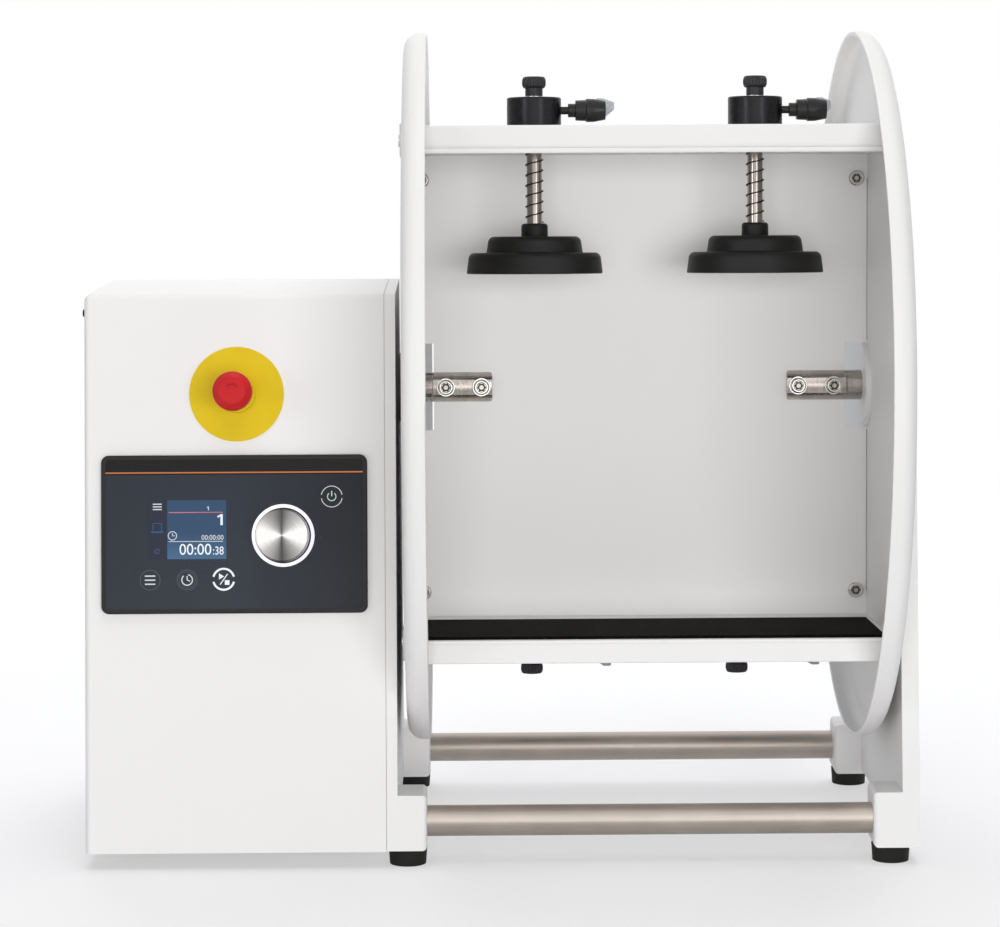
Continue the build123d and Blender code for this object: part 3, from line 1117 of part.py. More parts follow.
save("left_side_frame", left_frame)
save("right_side_frame", right_frame)
save("tie_tubes", *tubes)
save("rubber_feet", *feet)
save("cabinet_shell", shell)
save("cabinet_base_plate", base_plate)
save("stand_screws", *screws, *side_screws)
save("control_panel_frame", panel_plane.location * panel)
save("control_panel_glass", panel_plane.location * glass)
save("display_screen", panel_plane.location * screen)
save("dial_light_ring", panel_plane.location * dial_place * ring)
save("dial_knob", panel_plane.location * dial_place * dial)
save("dial_shaft", panel_plane.location * dial_place * dial_shaft)
save("control_board", panel_plane.location * board)
save("stop_label", stop_plane.location * label)
save("stop_housing", stop_plane.location * housing)
save("stop_stem", stop_plane.location * stem)
save("stop_button", stop_plane.location * button)
save("mains_inlet", inlet_plane.location * inlet)
save("mains_rocker", inlet_plane.location * rocker)
save("bearing_bushes", left_bush, right_bush)
save("drive_belt", belt)
save("motor_pulley", motor_pulley + motor_shaft)
save("motor_bracket", bracket)
save("gear_motor", gear_motor)
save("power_supply", supply)

save("left_disc", in_cradle(left_disc))
save("right_disc", in_cradle(right_disc))
save("drive_shaft", in_cradle(drive_shaft))
save("idle_shaft", in_cradle(idle_shaft))
save("driven_pulley", driven_pulley)
save("cradle_screws", *[in_cradle(screw) for screw in shaft_screws + panel_screws + fixing_screws])
save("cradle_brackets", *[in_cradle(piece) for piece in brackets])
save("centre_panel", in_cradle(centre_panel))
save("upper_shelf", in_cradle(upper_shelf))
save("lower_shelf", in_cradle(lower_shelf))
save("rubber_mats", in_cradle(mat), in_cradle(half_turn(mat)))
save("shelf_fixing_plates", *[in_cradle(piece) for piece in fixing_plates])

# Clamps 1 and 2 stand on the upper shelf at the front, 3 and 4 are the same half a turn on.
number = 0
blocks = []
for turn in (False, True):
    for x in clamp_x:
        number += 1
        place = Pos(x, -CLAMP_OFFSET_Y, 0)
        pieces = {"block": block, "rod": rod, "knob": knob, "pad": pad, "spring": spring}
        pieces["lever"] = lower_lever if turn else upper_lever
        for name, piece in pieces.items():
            piece = place * piece
            piece = half_turn(piece) if turn else piece
            pieces[name] = in_cradle(piece)
        ring_piece = place * collar
        ring_piece = in_cradle(half_turn(ring_piece) if turn else ring_piece)
        stem_name = "clamp_" + str(number) + "_"
        blocks.append(pieces["block"])
        save(stem_name + "rod", pieces["rod"])
        save(stem_name + "knob_and_collar", pieces["knob"], ring_piece)
        save(stem_name + "pad", pieces["pad"])
        save(stem_name + "spring", pieces["spring"])
        save(stem_name + "lever", pieces["lever"])
save("clamp_blocks", *blocks)
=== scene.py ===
import json
import logging
from dataclasses import dataclass, field
from enum import Enum
from math import cos, radians, sin

import bmesh
import bpy
import numpy as np
from mathutils import Matrix


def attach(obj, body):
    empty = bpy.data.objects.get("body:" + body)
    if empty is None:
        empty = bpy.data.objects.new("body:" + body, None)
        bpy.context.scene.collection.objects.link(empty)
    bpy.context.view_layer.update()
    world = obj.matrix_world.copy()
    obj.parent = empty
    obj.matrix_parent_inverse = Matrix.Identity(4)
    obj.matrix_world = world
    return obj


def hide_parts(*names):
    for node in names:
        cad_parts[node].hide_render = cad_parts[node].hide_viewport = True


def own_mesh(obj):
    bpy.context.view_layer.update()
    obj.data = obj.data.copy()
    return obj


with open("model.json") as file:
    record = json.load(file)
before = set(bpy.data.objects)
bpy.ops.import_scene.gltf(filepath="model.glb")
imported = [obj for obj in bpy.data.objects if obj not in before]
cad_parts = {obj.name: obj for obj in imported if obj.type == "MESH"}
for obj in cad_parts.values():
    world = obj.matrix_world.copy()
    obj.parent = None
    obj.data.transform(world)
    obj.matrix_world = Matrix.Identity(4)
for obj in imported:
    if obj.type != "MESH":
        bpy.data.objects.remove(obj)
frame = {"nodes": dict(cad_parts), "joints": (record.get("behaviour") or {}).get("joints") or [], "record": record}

# Overhead rotator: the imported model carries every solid, and this script dresses it. Lengths
# typed here are millimetres and become metres through MM. X runs along the turning axis away
# from the cabinet, Y to the back and Z up, as in the model.

MM = 0.001
ALONG_X = np.array([1.0, 0.0, 0.0])
Feeds = dict[str | int, bpy.types.NodeSocket]
Stops = list[tuple[float, tuple[float, float, float, float]]]
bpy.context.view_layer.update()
LOG = logging.getLogger("rotator")


# ---- surfaces -------------------------------------------------------------------------------
class Lamp(Enum):
    """What a lamp does: light matte surfaces, or show as a card in glossy ones."""

    LIT_ONLY = "lit_only"
    MIRRORED_ONLY = "mirrored_only"


class Wrap(Enum):
    """How a grid of points closes: not at all, round its columns, or round both ways."""

    OPEN = 0
    COLUMNS = 1
    BOTH = 2


def points_of(mesh: bpy.types.Mesh) -> np.ndarray:
    """Reads a mesh's points.

    Args:
        mesh: mesh to read.

    Returns:
        Its vertices as n x 3 coordinates in metres.
    """
    flat = np.empty(len(mesh.vertices) * 3)
    mesh.vertices.foreach_get("co", flat)
    return flat.reshape(-1, 3)


@dataclass(frozen=True)
class Placement:
    """A local frame in the model, with its origin in metres and its axes as matrix rows."""

    origin: np.ndarray
    axes: np.ndarray

    def to_world(self, points: np.ndarray) -> np.ndarray:
        """Model points of local points: origin plus each coordinate times its axis.

        Args:
            points: local points, their last axis x, y and z.

        Returns:
            The same points in the model, in metres.
        """
        return self.origin + points @ self.axes

    def to_local(self, points: np.ndarray) -> np.ndarray:
        """Local points of model points: their offset from the origin projected on each axis.

        Args:
            points: model points as n x 3.

        Returns:
            The same points in the local frame.
        """
        return (points - self.origin) @ self.axes.T

    def box(self, node: str) -> tuple[np.ndarray, np.ndarray]:
        """Limits of one CAD node measured along the local axes.

        Args:
            node: name of the CAD node.

        Returns:
            Lowest and highest local corner, in metres.
        """
        local = self.to_local(points_of(frame["nodes"][node].data))
        return local.min(0), local.max(0)

    def moved(self, x: float, y: float, z: float) -> "Placement":
        """The same axes with the origin moved.

        Args:
            x: move along local X, in metres.
            y: move along local Y.
            z: move along local Z.

        Returns:
            The moved placement.
        """
        return Placement(self.origin + np.array([x, y, z]) @ self.axes, self.axes)


def cradle_frame() -> Placement:
    """The cradle's own frame.

    Returns:
        A placement on the turning axis, its Z along the clamps' rods.
    """
    outward = np.array(joint("clamp_1_lift")["axis"], float)
    rows = np.stack([ALONG_X, np.cross(outward, ALONG_X), outward])
    return Placement(np.array(joint("cradle_turn")["pos_m"], float), rows)


def joint(name: str) -> dict:
    """Looks up one joint.

    Args:
        name: name of the joint.

    Returns:
        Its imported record.
    """
    return next(item for item in frame["joints"] if item["name"] == name)


def placement_from(joint_name: str, normal_sign: float) -> Placement:
    """Frame on a joint's axis with X along the model's X.

    Args:
        joint_name: joint whose point is the origin.
        normal_sign: plus or minus one, the way local Z looks along the joint's axis.

    Returns:
        A placement whose Y is Z crossed with X.
    """
    found = joint(joint_name)
    z_axis = normal_sign * np.array(found["axis"], float)
    rows = np.stack([ALONG_X, np.cross(z_axis, ALONG_X), z_axis])
    return Placement(np.array(found["pos_m"], float), rows)


def build_mesh(
    name: str, grid: np.ndarray, wrap: Wrap = Wrap.COLUMNS, caps: bool = True
) -> bpy.types.Object:
    """Object from a grid of points.

    Every cell of the grid becomes a quad between rows i and i + 1 and columns j and j + 1,
    counted round the grid where it wraps. Caps are one polygon over the first and one over
    the last row. Each vertex carries its row and column shares as a UV map.

    Args:
        name: name of the object.
        grid: points as rows x columns x 3, in model metres.
        wrap: how the grid closes.
        caps: whether the first and last rows are filled.

    Returns:
        The new object, linked to the scene, its faces turned outwards.
    """
    rows, columns = grid.shape[:2]
    down = np.arange(rows if wrap is Wrap.BOTH else rows - 1)
    across = np.arange(columns if wrap is not Wrap.OPEN else columns - 1)
    i, j = np.meshgrid(down, across, indexing="ij")
    i_next = (i + 1) % rows
    j_next = (j + 1) % columns
    row, row_next = i * columns, i_next * columns
    quads = np.stack([row + j, row + j_next, row_next + j_next, row_next + j], -1).reshape(-1, 4)
    loops = [quads.reshape(-1)]
    totals = [np.full(len(quads), 4)]
    u_corners = np.stack([j, j + 1, j + 1, j], -1) / len(across)
    v_corners = np.stack([i, i, i + 1, i + 1], -1) / len(down)
    shares = [np.stack([u_corners, v_corners], -1).reshape(-1, 2)]
    if caps:
        last = (rows - 1) * columns
        loops += [np.arange(columns)[::-1], last + np.arange(columns)]
        totals.append(np.array([columns, columns]))
        round_share = np.arange(columns) / columns
        shares += [np.stack([round_share, np.full(columns, end)], -1) for end in (0.0, 1.0)]
    loop_array = np.concatenate(loops).astype(np.int32)
    total_array = np.concatenate(totals).astype(np.int32)
    starts = np.concatenate([[0], np.cumsum(total_array)[:-1]]).astype(np.int32)
    mesh = bpy.data.meshes.new(name)
    mesh.vertices.add(rows * columns)
    mesh.vertices.foreach_set("co", grid.reshape(-1).astype(np.float32))
    mesh.loops.add(len(loop_array))
    mesh.loops.foreach_set("vertex_index", loop_array)
    mesh.polygons.add(len(total_array))
    mesh.polygons.foreach_set("loop_start", starts)
    mesh.update(calc_edges=True)
    mesh.uv_layers.new(name="surface").data.foreach_set("uv", np.concatenate(shares).reshape(-1))
    mesh.validate()
    finish_faces(mesh)
    return link(name, mesh)


def finish_faces(mesh: bpy.types.Mesh, sharp_degrees: float = 32.0) -> None:
    """Turns the faces of a mesh outwards and shades it smooth.

    Args:
        mesh: mesh to finish.
        sharp_degrees: edges that turn by more than this stay sharp.
    """
    work = bmesh.new()
    work.from_mesh(mesh)
    bmesh.ops.recalc_face_normals(work, faces=work.faces)
    work.to_mesh(mesh)
    work.free()
    mesh.polygons.foreach_set("use_smooth", np.ones(len(mesh.polygons), bool))
    mesh.set_sharp_from_angle(angle=radians(sharp_degrees))
    mesh.update()


def link(name: str, mesh: bpy.types.Mesh) -> bpy.types.Object:
    """Makes an object at the origin and links it to the scene.

    Args:
        name: name of the object.
        mesh: mesh that it shows.

    Returns:
        The new object.
    """
    piece = bpy.data.objects.new(name, mesh)
    bpy.context.scene.collection.objects.link(piece)
    return piece


def rounded(corners: np.ndarray, radii: np.ndarray, steps: int = 5) -> np.ndarray:
    """Open outline with a round at each corner.

    At each inner corner the two unit directions to its neighbours give the tangent length
    radius / tan(half angle); the round is the quadratic Bezier from one tangent point through
    the corner to the other, which stays within a few hundredths of the true arc.

    Args:
        corners: n x 2 outline points.
        radii: n radii, zero at both ends and wherever the corner stays sharp.
        steps: points on each round.

    Returns:
        The outline as points x 2.
    """
    inner = corners[1:-1]
    back = corners[:-2] - inner
    ahead = corners[2:] - inner
    back /= np.linalg.norm(back, axis=1, keepdims=True)
    ahead /= np.linalg.norm(ahead, axis=1, keepdims=True)
    half_angle = np.arccos(np.clip((back * ahead).sum(1), -1, 1)) / 2
    reach = (radii[1:-1] / np.tan(half_angle))[:, None]
    start = (inner + back * reach)[:, None]
    end = (inner + ahead * reach)[:, None]
    t = np.linspace(0, 1, steps)[None, :, None]
    curve = (1 - t) ** 2 * start + 2 * t * (1 - t) * inner[:, None] + t**2 * end
    return np.concatenate([corners[:1], curve.reshape(-1, 2), corners[-1:]])


def revolve(profile: np.ndarray, segments: int, flute: np.ndarray | float = 0.0) -> np.ndarray:
    """Surface of revolution about local Z.

    Each profile point (r, z) becomes a ring: x = r cos t, y = r sin t, with t from zero to a
    full turn. A flute depth per ring and segment is taken off r.

    Args:
        profile: points x 2 of radius and height.
        segments: points on each ring.
        flute: depth to take off, as one number or rings x segments.

    Returns:
        Grid of rings x segments x 3.
    """
    t = np.linspace(0, 2 * np.pi, segments, endpoint=False)
    radius = profile[:, :1] - flute
    height = np.broadcast_to(profile[:, 1:], radius.shape)
    height = np.broadcast_to(height, (len(profile), segments))
    return np.stack([radius * np.cos(t), radius * np.sin(t), height], -1)


def flat_band(path: np.ndarray, width: float, low: float, high: float) -> np.ndarray:
    """Raised band that follows a flat path.

    The path's normal is its tangent turned a quarter, and the section is the rectangle of
    half a width to each side between two heights.

    Args:
        path: n x 2 points in the plane.
        width: width of the band.
        low: height of its underside.
        high: height of its top.

    Returns:
        Grid of n x 4 x 3 section corners.
    """
    tangent = np.gradient(path, axis=0)
    tangent /= np.linalg.norm(tangent, axis=1, keepdims=True)
    normal = np.stack([-tangent[:, 1], tangent[:, 0]], -1) * width / 2
    sides = np.array([1.0, 1.0, -1.0, -1.0])
    heights = np.broadcast_to(np.array([low, high, high, low]), (len(path), 4))
    flat = path[:, None] + normal[:, None] * sides[None, :, None]
    return np.concatenate([flat, heights[..., None]], -1)


def arc(
    centre: tuple[float, float], radius: float, start: float, end: float, steps: int
) -> np.ndarray:
    """Flat arc: centre plus radius times (cos, sin) of evenly spaced angles.

    Args:
        centre: middle of the arc.
        radius: its radius.
        start: first angle in degrees.
        end: last angle in degrees.
        steps: number of points.

    Returns:
        The arc as points x 2.
    """
    t = np.radians(np.linspace(start, end, steps))
    return np.stack([centre[0] + radius * np.cos(t), centre[1] + radius * np.sin(t)], -1)


def prism(outline: np.ndarray, low: float, high: float) -> np.ndarray:
    """Two copies of a flat closed outline, one at each height.

    Args:
        outline: n x 2 points.
        low: height of the first copy.
        high: height of the second.

    Returns:
        Grid of 2 x n x 3.
    """
    heights = np.broadcast_to(np.array([low, high])[:, None, None], (2, len(outline), 1))
    return np.concatenate([np.broadcast_to(outline, (2, *outline.shape)), heights], -1)


# ---- finishes -------------------------------------------------------------------------------
def linear(colour: str) -> tuple[float, float, float, float]:
    """Linear colour of an sRGB hex value, by the sRGB decoding curve.

    Args:
        colour: hex value such as #EDEDEE.

    Returns:
        Linear red, green and blue, and full alpha.
    """
    channels = np.array([int(colour[k : k + 2], 16) for k in (1, 3, 5)]) / 255
    bright = ((channels + 0.055) / 1.055) ** 2.4
    decoded = np.where(channels <= 0.04045, channels / 12.92, bright)
    return (*decoded.tolist(), 1.0)


def add_node(
    material: bpy.types.ID,
    kind: str,
    settings: dict | None = None,
    links: Feeds | None = None,
    **properties: str,
) -> bpy.types.Node:
    """Adds one shader node.

    Args:
        material: material or world whose node tree takes it.
        kind: Blender's node type name.
        settings: socket name or number to constant value.
        links: socket name or number to the output socket that feeds it.
        **properties: attributes of the node itself.

    Returns:
        The new node.
    """
    tree = material.node_tree
    node = tree.nodes.new(kind)
    for key, value in properties.items():
        setattr(node, key, value)
    for key, value in (settings or {}).items():
        node.inputs[key].default_value = value
    for key, source in (links or {}).items():
        tree.links.new(source, node.inputs[key])
    return node


def faded(colour: str, share: float) -> tuple[float, float, float, float]:
    """Linear colour of an sRGB hex value, each channel times a share.

    Args:
        colour: hex value such as #EDEDEE.
        share: factor on red, green and blue.

    Returns:
        Linear red, green and blue, and full alpha.
    """
    red, green, blue, alpha = linear(colour)
    return share * red, share * green, share * blue, alpha


def ramp_stops(node: bpy.types.Node, stops: Stops) -> None:
    """Sets a colour ramp's stops.

    Args:
        node: colour ramp node.
        stops: (position, colour) pairs in rising order.
    """
    ramp = node.color_ramp
    while len(ramp.elements) < len(stops):
        ramp.elements.new(0.5)
    for element, (position, colour) in zip(ramp.elements, stops):
        element.position = position
        element.color = colour


def worn_surface(
    material: bpy.types.Material,
    drive: bpy.types.NodeSocket,
    stops: Stops,
    rough: tuple[float, float],
    height: bpy.types.NodeSocket,
    bump: tuple[float, float],
    driven: tuple[float, float] = (0.0, 1.0),
) -> Feeds:
    """Tone and roughness that follow one pattern, and a relief that follows another.

    Args:
        material: material that takes the nodes.
        drive: pattern behind the tone and the roughness.
        stops: colours along the pattern.
        rough: roughness at the driven range's low and high end.
        height: pattern behind the relief.
        bump: strength of the relief and its height in millimetres.
        driven: range of the pattern that the roughness follows.

    Returns:
        Feeds of the base colour, roughness and normal.
    """
    tone = add_node(material, "ShaderNodeValToRGB", None, {"Fac": drive})
    ramp_stops(tone, stops)
    limits = {"From Min": driven[0], "From Max": driven[1], "To Min": rough[0], "To Max": rough[1]}
    gloss = add_node(material, "ShaderNodeMapRange", limits, {"Value": drive})
    strength, distance = bump
    size = {"Strength": strength, "Distance": distance * MM}
    relief = add_node(material, "ShaderNodeBump", size, {"Height": height})
    return {
        "Base Color": tone.outputs["Color"],
        "Roughness": gloss.outputs["Result"],
        "Normal": relief.outputs["Normal"],
    }


@dataclass(frozen=True)
class Finish:
    """Base of every finish: a Principled surface whose sockets the subclasses feed."""

    name: str

    def settings(self) -> dict[str, float | tuple]:
        """Constants that go straight on the shader's own sockets.

        Returns:
            Socket name to value.
        """
        return {}

    def links(self, material: bpy.types.Material, position: bpy.types.NodeSocket) -> Feeds:
        """Builds the nodes that vary over the surface.

        Args:
            material: material that takes them.
            position: socket that gives the object's position.

        Returns:
            Shader socket name to the output that feeds it.
        """
        return {}

    def material(self) -> bpy.types.Material:
        """Builds the material once.

        Returns:
            The material, the same one on later calls.
        """
        found = bpy.data.materials.get(self.name)
        if found:
            return found
        made = bpy.data.materials.new(self.name)
        made.use_nodes = True
        made.node_tree.nodes.clear()
        position = add_node(made, "ShaderNodeTexCoord").outputs["Object"]
        feeds = self.links(made, position)
        shader = add_node(made, "ShaderNodeBsdfPrincipled", self.settings(), feeds)
        add_node(made, "ShaderNodeOutputMaterial", None, {"Surface": shader.outputs[0]})
        return made


@dataclass(frozen=True)
class PowderCoat(Finish):
    """Satin powder coat, sprayed and baked: a fine orange peel breaks up its soft sheen."""

    colour: str
    peel_mm: float = 1.6
    peel_height_mm: float = 0.012
    roughness: float = 0.42
    drift_mm: float = 160.0
    spread: float = 0.04
    darkest: float = 0.975

    def settings(self) -> dict[str, float | tuple]:
        """Plain dielectric gloss of a polyester coat.

        Returns:
            Socket name to value.
        """
        return {"IOR": 1.5, "Specular IOR Level": 0.42}

    def links(self, material: bpy.types.Material, position: bpy.types.NodeSocket) -> Feeds:
        """Slow drift in the tone and roughness, and the peel as bump.

        Args:
            material: material that takes the nodes.
            position: socket that gives the place on the object.

        Returns:
            Shader socket name to the output that feeds it.
        """
        slow = add_node(
            material,
            "ShaderNodeTexNoise",
            {"Scale": 1 / (self.drift_mm * MM), "Detail": 2.0},
            {"Vector": position},
        )
        peel = add_node(
            material,
            "ShaderNodeTexNoise",
            {"Scale": 1 / (self.peel_mm * MM), "Detail": 3.0},
            {"Vector": position},
        )
        return worn_surface(
            material,
            slow.outputs["Fac"],
            [(0.3, faded(self.colour, self.darkest)), (0.7, linear(self.colour))],
            (self.roughness - self.spread, self.roughness + self.spread),
            peel.outputs["Fac"],
            (0.35, self.peel_height_mm),
        )


@dataclass(frozen=True)
class GroundSteel(Finish):
    """Stainless steel with a directional grind: fine streaks pull its highlight along."""

    colour: str
    streak_mm: tuple[float, float, float]
    roughness: float = 0.3
    spread: float = 0.08
    patch_mm: float = 26.0
    patch_strength: float = 0.12
    streak_height_mm: float = 0.01

    def settings(self) -> dict[str, float | tuple]:
        """A bare metal.

        Returns:
            Socket name to value.
        """
        return {"Metallic": 1.0}

    def links(self, material: bpy.types.Material, position: bpy.types.NodeSocket) -> Feeds:
        """Streaks stretched by their size along each axis, and softer stains across them.

        Args:
            material: material that takes the nodes.
            position: socket that gives the place on the object.

        Returns:
            Shader socket name to the output that feeds it.
        """
        scale = tuple(1 / (size * MM) for size in self.streak_mm)
        stretched = add_node(material, "ShaderNodeMapping", {"Scale": scale}, {"Vector": position})
        streaks = add_node(
            material,
            "ShaderNodeTexNoise",
            {"Scale": 1.0, "Detail": 4.0},
            {"Vector": stretched.outputs["Vector"]},
        )
        patches = add_node(
            material,
            "ShaderNodeTexNoise",
            {"Scale": 1 / (self.patch_mm * MM), "Detail": 3.0},
            {"Vector": position},
        )
        both = add_node(
            material,
            "ShaderNodeMix",
            {"Factor": 0.5},
            {"A": streaks.outputs["Fac"], "B": patches.outputs["Fac"]},
            data_type="FLOAT",
        )
        return worn_surface(
            material,
            both.outputs["Result"],
            [(0.35, faded(self.colour, 1 - self.patch_strength)), (0.65, linear(self.colour))],
            (self.roughness - self.spread, self.roughness + self.spread),
            streaks.outputs["Fac"],
            (0.5, self.streak_height_mm),
            (0.3, 0.7),
        )


@dataclass(frozen=True)
class Moulded(Finish):
    """Moulded rubber or plastic: an even grain from the mould and a faint bloom of dust."""

    colour: str
    bloom: str
    roughness: float = 0.55
    grain_mm: float = 0.5
    grain_height_mm: float = 0.02
    bloom_mm: float = 18.0
    specular: float = 0.4
    clear: float = 0.0

    def settings(self) -> dict[str, float | tuple]:
        """Dielectric gloss, and a little transmission where the plastic is clear.

        Returns:
            Socket name to value.
        """
        return {"IOR": 1.5, "Specular IOR Level": self.specular, "Transmission Weight": self.clear}

    def links(self, material: bpy.types.Material, position: bpy.types.NodeSocket) -> Feeds:
        """Bloom mixed over the colour by a soft noise, grain as bump.

        Args:
            material: material that takes the nodes.
            position: socket that gives the place on the object.

        Returns:
            Shader socket name to the output that feeds it.
        """
        soft = add_node(
            material,
            "ShaderNodeTexNoise",
            {"Scale": 1 / (self.bloom_mm * MM), "Detail": 5.0},
            {"Vector": position},
        )
        grain = add_node(
            material,
            "ShaderNodeTexNoise",
            {"Scale": 1 / (self.grain_mm * MM), "Detail": 2.0},
            {"Vector": position},
        )
        return worn_surface(
            material,
            soft.outputs["Fac"],
            [(0.42, linear(self.colour)), (0.75, linear(self.bloom))],
            (self.roughness - 0.06, self.roughness + 0.08),
            grain.outputs["Fac"],
            (0.5, self.grain_height_mm),
        )


@dataclass(frozen=True)
class RibbedMat(Finish):
    """Black anti-slip mat: a fine pyramid relief that swallows light, its tone lightened at random
    by a fine speckle.
    """

    colour: str
    tip: str
    pitch_mm: float = 3.2
    relief_mm: float = 0.5
    speckle_mm: float = 1.11

    def settings(self) -> dict[str, float | tuple]:
        """Dull rubber.

        Returns:
            Socket name to value.
        """
        return {"IOR": 1.5, "Specular IOR Level": 0.05}

    def links(self, material: bpy.types.Material, position: bpy.types.NodeSocket) -> Feeds:
        """Pyramids from a cell texture as bump, and a random speckle that lightens the tone.

        Args:
            material: material that takes the nodes.
            position: socket that gives the place on the object.

        Returns:
            Shader socket name to the output that feeds it.
        """
        cells = add_node(
            material,
            "ShaderNodeTexVoronoi",
            {"Scale": 1 / (self.pitch_mm * MM), "Randomness": 0.35},
            {"Vector": position},
            feature="F1",
        )
        speckle = add_node(
            material,
            "ShaderNodeTexNoise",
            {"Scale": 1 / (self.speckle_mm * MM), "Detail": 4.0},
            {"Vector": position},
        )
        return worn_surface(
            material,
            speckle.outputs["Fac"],
            [(0.45, linear(self.colour)), (0.75, linear(self.tip))],
            (0.75, 0.95),
            cells.outputs["Distance"],
            (0.8, self.relief_mm),
        )


@dataclass(frozen=True)
class Anodised(Finish):
    """Aluminium turned on a lathe and dyed black: a satin sheen with the tool's fine rings."""

    colour: str
    roughness: float = 0.28
    ring_mm: float = 0.35
    ring_height_mm: float = 0.01
    dye_mm: float = 25.0

    def settings(self) -> dict[str, float | tuple]:
        """Dyed oxide over metal: a dark body under a clear, hard gloss.

        Returns:
            Socket name to value.
        """
        return {"IOR": 1.6, "Specular IOR Level": 0.22}

    def links(self, material: bpy.types.Material, position: bpy.types.NodeSocket) -> Feeds:
        """Rings across the cradle's Z as bump and a slight unevenness of the dye.

        Args:
            material: material that takes the nodes.
            position: socket that gives the place on the object.

        Returns:
            Shader socket name to the output that feeds it.
        """
        scale = tuple(1 / (size * MM) for size in (self.dye_mm, self.dye_mm, self.ring_mm))
        stretched = add_node(material, "ShaderNodeMapping", {"Scale": scale}, {"Vector": position})
        rings = add_node(
            material,
            "ShaderNodeTexNoise",
            {"Scale": 1.0, "Detail": 2.0},
            {"Vector": stretched.outputs["Vector"]},
        )
        return worn_surface(
            material,
            rings.outputs["Fac"],
            [(0.3, linear(self.colour)), (0.8, faded(self.colour, 1.5))],
            (self.roughness - 0.06, self.roughness + 0.08),
            rings.outputs["Fac"],
            (0.25, self.ring_height_mm),
        )


@dataclass(frozen=True)
class SpunFace(Finish):
    """Aluminium knob spun on a lathe, with fine rings round its centre.

    Its two bright wedges and two dark ones are painted highlight and painted shade: each pair
    is a share of the half turn and the tone's share there.
    """

    colour: str
    roughness: float = 0.3
    rings: float = 90.0
    painted_light_sectors: tuple[tuple[float, float], ...] = (
        (0.0, 1.0),
        (0.1, 0.95),
        (0.24, 0.5),
        (0.38, 0.26),
        (0.5, 0.07),
        (0.62, 0.26),
        (0.76, 0.5),
        (0.9, 0.95),
    )

    def settings(self) -> dict[str, float | tuple]:
        """A bare metal whose scratches run round the centre.

        Returns:
            Socket name to value.
        """
        return {"Metallic": 1.0, "Anisotropic": 0.85}

    def links(self, material: bpy.types.Material, position: bpy.types.NodeSocket) -> Feeds:
        """Ring pattern across the surface's own V, and the tangent along its U.

        Args:
            material: material that takes the nodes.
            position: socket that gives the place on the object; not used here.

        Returns:
            Shader socket name to the output that feeds it.
        """
        share = add_node(material, "ShaderNodeUVMap", uv_map="surface").outputs["UV"]
        stretched = add_node(
            material, "ShaderNodeMapping", {"Scale": (6.0, self.rings, 1.0)}, {"Vector": share}
        )
        rings = add_node(
            material,
            "ShaderNodeTexNoise",
            {"Scale": 1.0, "Detail": 4.0},
            {"Vector": stretched.outputs["Vector"]},
        )
        parts = add_node(material, "ShaderNodeSeparateXYZ", None, {"Vector": share})
        around = parts.outputs["X"]
        twice = add_node(material, "ShaderNodeMath", {1: 2.0}, {0: around}, operation="MULTIPLY")
        turn = twice.outputs[0]
        fold = add_node(material, "ShaderNodeMath", {1: 1.0}, {0: turn}, operation="PINGPONG")
        # Painted highlight and shade: bright wedges to two sides and dark ones between, set in the colour.
        painted_light_tone = add_node(material, "ShaderNodeValToRGB", None, {"Fac": fold.outputs[0]})
        ramp_stops(painted_light_tone, [(spot, faded(self.colour, share)) for spot, share in self.painted_light_sectors])
        fine = add_node(material, "ShaderNodeValToRGB", None, {"Fac": rings.outputs["Fac"]})
        ramp_stops(fine, [(0.3, (0.72, 0.72, 0.72, 1.0)), (0.7, (1.0, 1.0, 1.0, 1.0))])
        tone = add_node(
            material,
            "ShaderNodeMix",
            {"Factor": 1.0},
            {"A": painted_light_tone.outputs["Color"], "B": fine.outputs["Color"]},
            data_type="RGBA",
            blend_type="MULTIPLY",
        )
        gloss = add_node(
            material,
            "ShaderNodeMapRange",
            {"To Min": self.roughness - 0.06, "To Max": self.roughness + 0.06},
            {"Value": rings.outputs["Fac"]},
        )
        tangent = add_node(material, "ShaderNodeTangent", direction_type="UV_MAP", uv_map="surface")
        return {
            "Base Color": tone.outputs["Result"],
            "Roughness": gloss.outputs["Result"],
            "Tangent": tangent.outputs["Tangent"],
        }


